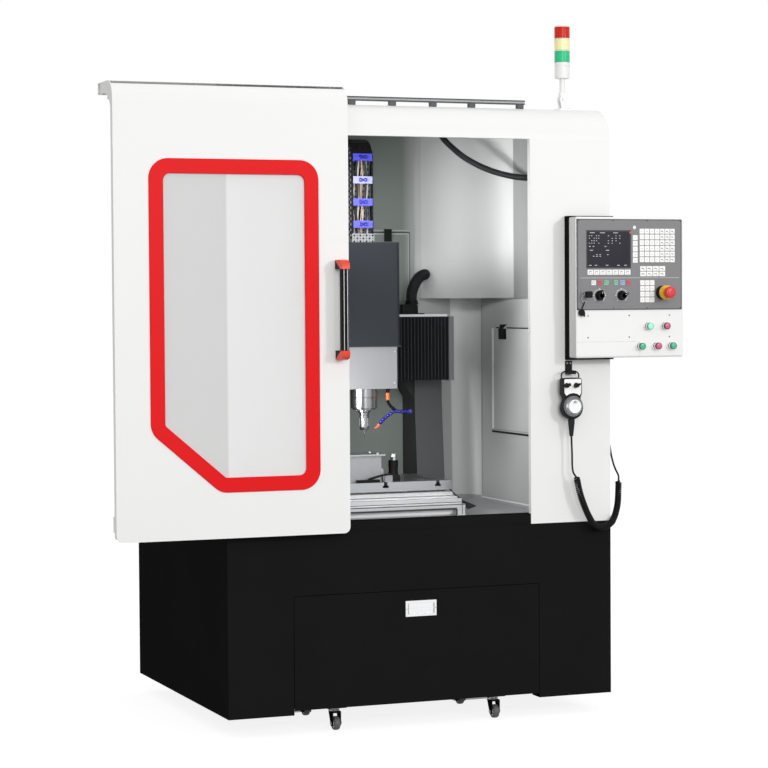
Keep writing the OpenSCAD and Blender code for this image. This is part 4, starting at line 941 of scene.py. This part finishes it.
track = [on_track(i * LINK) for i in range(int((2 * rise + pi * bend_r) / LINK) + 1)]
plate = [(a * LINK, b) for a, b in (
    (-0.56, -9), (-0.42, -15), (0.42, -15), (0.56, -9), (0.56, 9), (0.42, 15), (-0.42, 15),
    (-0.56, 9))]
for i, (d, z) in enumerate(track):
    a, b = track[max(i - 1, 0)], track[min(i + 1, len(track) - 1)]
    t = Vector((b[0] - a[0], b[1] - a[1])).normalized()

    def spot(x, along, out):
        """A place on this link: along the chain, and outward from its middle line."""
        return x, d + t.x * along - t.y * out, z + t.y * along + t.x * out

    # Every second link's left plate stands a little inside its neighbours' plates.
    for x0, x1, rivet, way in ((CHAIN_L, CHAIN_L + (1.4 if i % 2 else 0), 0.2, (-1, 0, 0)),
                               (CHAIN_R - 6.5, CHAIN_R - 6.5, 6.3, (1, 0, 0))):
        chain.rings([[P(*spot(x, u, v)) for u, v in plate] for x in (x1, x1 + 5)],
                    plastic, bevel=0.7)
        chain.turned(spot(x0 + rivet, 0, 0), [(5, 0), (5, 1), (3, 1.2)], zinc, 12, way)
    front, arch = i < FRONT_LINKS, FRONT_LINKS <= i < ARCH_END
    label = front and i % 4 == 2
    bar = plastic if not label else pale_bar if i == 10 else blue_bar
    h = 13.5 if label else LINK * 0.53 if arch else 4
    for near, far in ((-16.5, -13), (13, 16.5)):
        if near < 0 or label or not front:
            chain.rings([[P(*spot(x, u, v)) for u, v in ((-h, near), (h, near), (h, far), (-h, far))]
                         for x in (CHAIN_L + 5, CHAIN_R - 5)], bar, bevel=0.6)
    if label:
        loop = [spot(-34 + 15 * sin(k * pi / 16), 5.5 * sin(k * pi / 8), 17.1)
                for k in range(32)]
        chain.tube([P(*p) for p in loop], 2.2, dark_blue, 6)
for k, (x, mat, r) in enumerate((
        (-66, cable_white, 4), (-57, rubber, 5), (-47, cable_white, 4.4), (-38, cable_brown, 3.6),
        (-30, cable_white, 3.4), (-21, rubber, 5), (-11, cable_white, 3.6), (-3, rubber, 4))):
    cable = [(x + 3 * sin(i * 0.9 + k), d + (-7 if k % 2 else 5), z)
             for i, (d, z) in enumerate(track)]
    chain.tube(curved(2, *cable), r, mat, 8)
chain = chain.done(None, "z_chain", slot="black_plastic")
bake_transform(chain)

# --- bellows
BELLOWS, FOLD, BELLOWS_B, BELLOWS_T = 690, 20, 1229, 1476  # front, depth of a fold, heights


def folds(name, x_fixed, x_moving, n):
    """A folded cloth from the beam's end to the carriage."""
    cloth = Piece(name)
    pitch = (x_moving - x_fixed) / n
    section = [(x_fixed + (i + part) * pitch, BELLOWS + d) for i in range(n) for part, d in (
        (0, 1.2), (0.12, 0.4), (0.45, FOLD - 1), (0.55, FOLD), (0.88, 0.4))]
    section.append((x_moving, BELLOWS + 1.2))
    loop = section + [(x, d + 1.6) for x, d in section[::-1]]
    middle_d = BELLOWS + FOLD / 2
    cloth.rings([[P(x, middle_d + (d - middle_d) * k, z) for x, d in loop] for z, k in (
        (BELLOWS_B, 0.9), (BELLOWS_B + 2, 1), (BELLOWS_T - 2, 1), (BELLOWS_T, 0.9))], fabric)
    o = cloth.done(None, "beam_bellows", slot="bellows_fabric")
    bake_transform(o)


folds("bellows_right", 389, 31, 25)
folds("bellows_left", -389, -153, 17)

# --- hoses in the working space
hoses = Piece("conduit_and_hose")
for (r, groove), mat, n, path in (
        ((11.9, 10.4), rubber, 16, even(curved(
            16, (364, 735, 2244), (364, 732, 2225), (370, 690, 2178), (392, 640, 2135),
            (414, 590, 2100), (438, 545, 2074), (462, 500, 2052), (495, 440, 2030),
            (531, 385, 2015), (560, 335, 2008), (578, 300, 2004)), 0.0021)),
        ((21.9, 19.8), rubber, 24, even(curved(
            16, (290, 831, 1528), (291, 834, 1548), (300, 850, 1576), (320, 868, 1608),
            (345, 886, 1633), (371, 900, 1645), (384, 918, 1645)), 0.003))):
    hoses.tube(path, [r if i % 4 < 2 else groove for i in range(len(path))], mat, n)
hoses.turned((589.4, 288, 2003), [(15, 1), (15, 4), (14.5, 5), (14.5, 14), (12.6, 17)],
             plastic, 24, (-0.75, 0.65, 0.03))
hoses.block("z", 235, 308, 800, 862, 9, ((0, 1490), (0, 1519), (2.5, 1525), (8, 1527)), plastic)
hoses.prism(round_rect(228, 335, 800, 862, 8, 4), "z", 1487.2, 1491, plastic, 0.8)
hoses.turned((290, 831, 1526), [(27, 0), (27, 6), (24.5, 8), (24.5, 16), (22, 17)], plastic,
             axis=UP)
hoses.screws([322], (812, 850), [1491], 4, 2.4, axis=UP)
hoses.done("machine", "interior_hoses", slot="black_rubber")

# --- fixtures on the table
TABLE_Z = 857
clamp = Piece("fixtures")
clamp.box(-170, -2, 425, 520, TABLE_Z, 956, fixture, 3)
clamp.box(-186, 12, 418, 530, 956, 962, steel, 1.2)
clamp.box(-110, -20, 392, 410, TABLE_Z, 868, plastic, 2)
clamp.block("z", 36, 82, 440, 480, 5, ((0, TABLE_Z), (0, 876), (2, 880)), plastic)
clamp.turned((60, 460, 878), [
    (19, 0), (19, 10), (17.6, 12), (17.6, 30), (19, 32), (19, 55), (17, 57)], plastic, axis=UP)
clamp.turned((62, 460, 934), [
    (12.5, 0), (12.5, 14), (11, 16), (10.4, 24), (9, 26), (0.5, 26)], steel, axis=UP)
clamp.box(2, 12, 440, 460, TABLE_Z, 905, steel, 1)
clamp.box(2, 32, 396, 420, TABLE_Z, 882, fixture, 1.6)
lever = curved(5, (-64, 402, 868), (-40, 398, 876), (-10, 394, 884), (26, 391, 889))
clamp.tube(lever, [5 - 1.6 * i / (len(lever) - 1) for i in range(len(lever))], plastic, 10)
for place in product((-160, -14), (430, 516), [962]):
    clamp.turned(place, [(6, 0), (6, 5), (3.2, 5), (3.2, 2)], zinc, 16, UP)
clamp.done("table", "table_fixtures", slot="bright_steel")

# --- plain trim
# A pale panel in the splash tray's recess, and dark lines on the tray's front: those along the top
# and the sides of the recess are painted shadow, the others dark joints and edges of the leaf and
# the box.
bed_panel = Piece("bed_front_panel")
bed_panel.block("d", -228, 228, 737, 758, 8, ((0, 280.6), (1.2, 278.6)), pale_trim_and_highlight, 5)
bed_panel.strips(plate_edge, *((x0, x1, d, d + 0.8, z0, z1) for x0, x1, d, z0, z1 in (
    (-268, 268, 284.6, 780, 782.6), (-268, 268, 284.6, 765, 767), (-270, 270, 249.6, 774, 777),
    (-234, 234, 249.6, 757, 763.6), (-236, -230, 249.6, 736, 758), (230, 236, 249.6, 736, 758),
    (254, 256.4, 249.6, 737, 774), (267.6, 270, 249.6, 737, 777))))
bed_panel.done("machine")
flap = Piece("rubber_flap")
sheet = [P(271, 235, 760), P(333, 300, 764), P(312, 332, 776), P(271, 312, 790)]
flap.rings([sheet, [q - Vector((0, 0, 0.003)) for q in sheet]], rubber)
flap.tube([P(269, 402, 822), P(269, 345, 803), P(270, 286, 789)], 2.6, rubber, 8)
flap.done("machine")
# Painted highlights along the edges of the hatch in the right wall, along the wall's foot and along
# the corner's fold; a painted shadow in the gap under that hatch and a dark line in the gap over it;
# then painted highlights and black seal strips round the hatch in the rear wall
edge_lines = Piece("hatch_edge_lines")
edge_lines.strips(pale_trim_and_highlight, (589, 590.2, 706, 720.5, 1030, 1429), (595, 596.2, 140, 842, 745, 751))
edge_lines.strips(pale_edge_highlight, (589, 590.2, 330, 720, 1026, 1031), (599, 599.9, 840, 850.5, 760, 1520))
edge_lines.strips(plastic, (597.4, 599.9, 322, 742, 1014, 1022.5),
            (597.4, 599.9, 330, 700, 1429.5, 1434))
for x0, x1, z0, z1, mat, d in (
        (-330, 330, 1812.6, 1816, plastic, 945.2), (325.6, 329.5, 1541, 1814, plastic, 945.2),
        (-325, 325, 1806, 1812, pale_edge_highlight, 939.2), (319, 325, 1541, 1806, pale_edge_highlight, 939.2),
        (-345, 345, 1821, 1825, pale_edge_highlight, 945.2), (341, 345, 1523, 1821, pale_edge_highlight, 945.2)):
    edge_lines.strips(mat, (x0, x1, d, d + 0.9, z0, z1))
edge_lines.done("machine")
rail_lo, rail_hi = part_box("roof_rail")
rail_d, rail_z = (rail_lo.y - FRONT) * 1000 + 2, rail_hi.z * 1000
edges = Piece("rail_edges")
edges.strips(plate_edge, *((-745, 455, rail_d - 0.5, rail_d, z, z + tall)
                           for z, tall in ((rail_z - 4.4, 4.4), (rail_z - 16, 4.8))))
edges.done("machine")
rear = Piece("rear_fittings")
rear.turned((345, 1177, 1400), [(14, 0), (14, 4), (12, 6)], zinc, axis=(0, 1, 0))
rear.box(341, 349, 1182, 1183, 1386, 1414, plastic, 0.3)
rear.done("service_door")


# --- room and light
def shown_rays(tree):
    """One for the rays that show the background: the camera's, mirrored and passed through glass."""
    path = shader(tree, "LightPath", {})
    shown = path["Is Camera Ray"]
    for name in ("Is Glossy Ray", "Is Transmission Ray"):
        shown = shader(tree, "Math", {0: shown, 1: path[name]}, operation="MAXIMUM")[0]
    return shown


world = bpy.data.worlds.new("room")
bpy.context.scene.world = world
world.use_nodes = True
t = world.node_tree
sky = shader(t, "MapRange", {"To Min": 0.8, "To Max": 1.0, "Value": shown_rays(t)})["Result"]
feed(t.nodes["Background"], {"Strength": sky, "Color": (1, 1, 1, 1)})

floor_mat = bpy.data.materials.new("floor")
floor_mat.use_nodes = True
t = floor_mat.node_tree
paint = t.nodes["Principled BSDF"]
feed(paint, {"Base Color": (0.24, 0.24, 0.24, 1), "Roughness": 0.9, "Specular IOR Level": 0.0})
glow = shader(t, "Emission", {"Strength": shown_rays(t), "Color": (0.86, 0.86, 0.86, 1)})[0]
both = shader(t, "AddShader", {0: paint.outputs[0], 1: glow})[0]
feed(t.nodes["Material Output"], {"Surface": both})
mesh = bpy.data.meshes.new("floor")
mesh.from_pydata([(-30, -30, 0), (30, -30, 0), (30, 30, 0), (-30, 30, 0)], [], [(0, 1, 2, 3)])
mesh.materials.append(floor_mat)
put("floor", mesh)


def lamp(name, at, to, size, power, spread=pi):
    """A round lamp that the camera doesn't see."""
    data = bpy.data.lights.new(name, "AREA")
    data.shape = "DISK"
    data.size = size
    data.energy = power
    data.spread = spread
    o = put(name, data)
    o.location = at
    o.rotation_euler = (Vector(to) - Vector(at)).to_track_quat("-Z", "Y").to_euler()
    o.visible_camera = False


lamp("key", (3.5, -7.4, 3.1), (0, -0.6, 1.3), 0.7, 106)
lamp("fill", (-1.0, -9.2, 3.0), (0, -0.4, 1.3), 4.0, 251)
lamp("inside_left", (-0.52, -0.42, 1.92), (0.6, -0.24, 1.84), 0.3, 3.5, 1.3)
lamp("inside_front", (-0.24, -0.66, 2.0), (0.42, -0.1, 1.7), 0.3, 0.8, 1.9)
lamp("inside_low", (-0.50, -0.52, 1.22), (0.6, -0.12, 1.1), 0.3, 2.6, 1.7)

bpy.context.scene.view_settings.view_transform = "Standard"
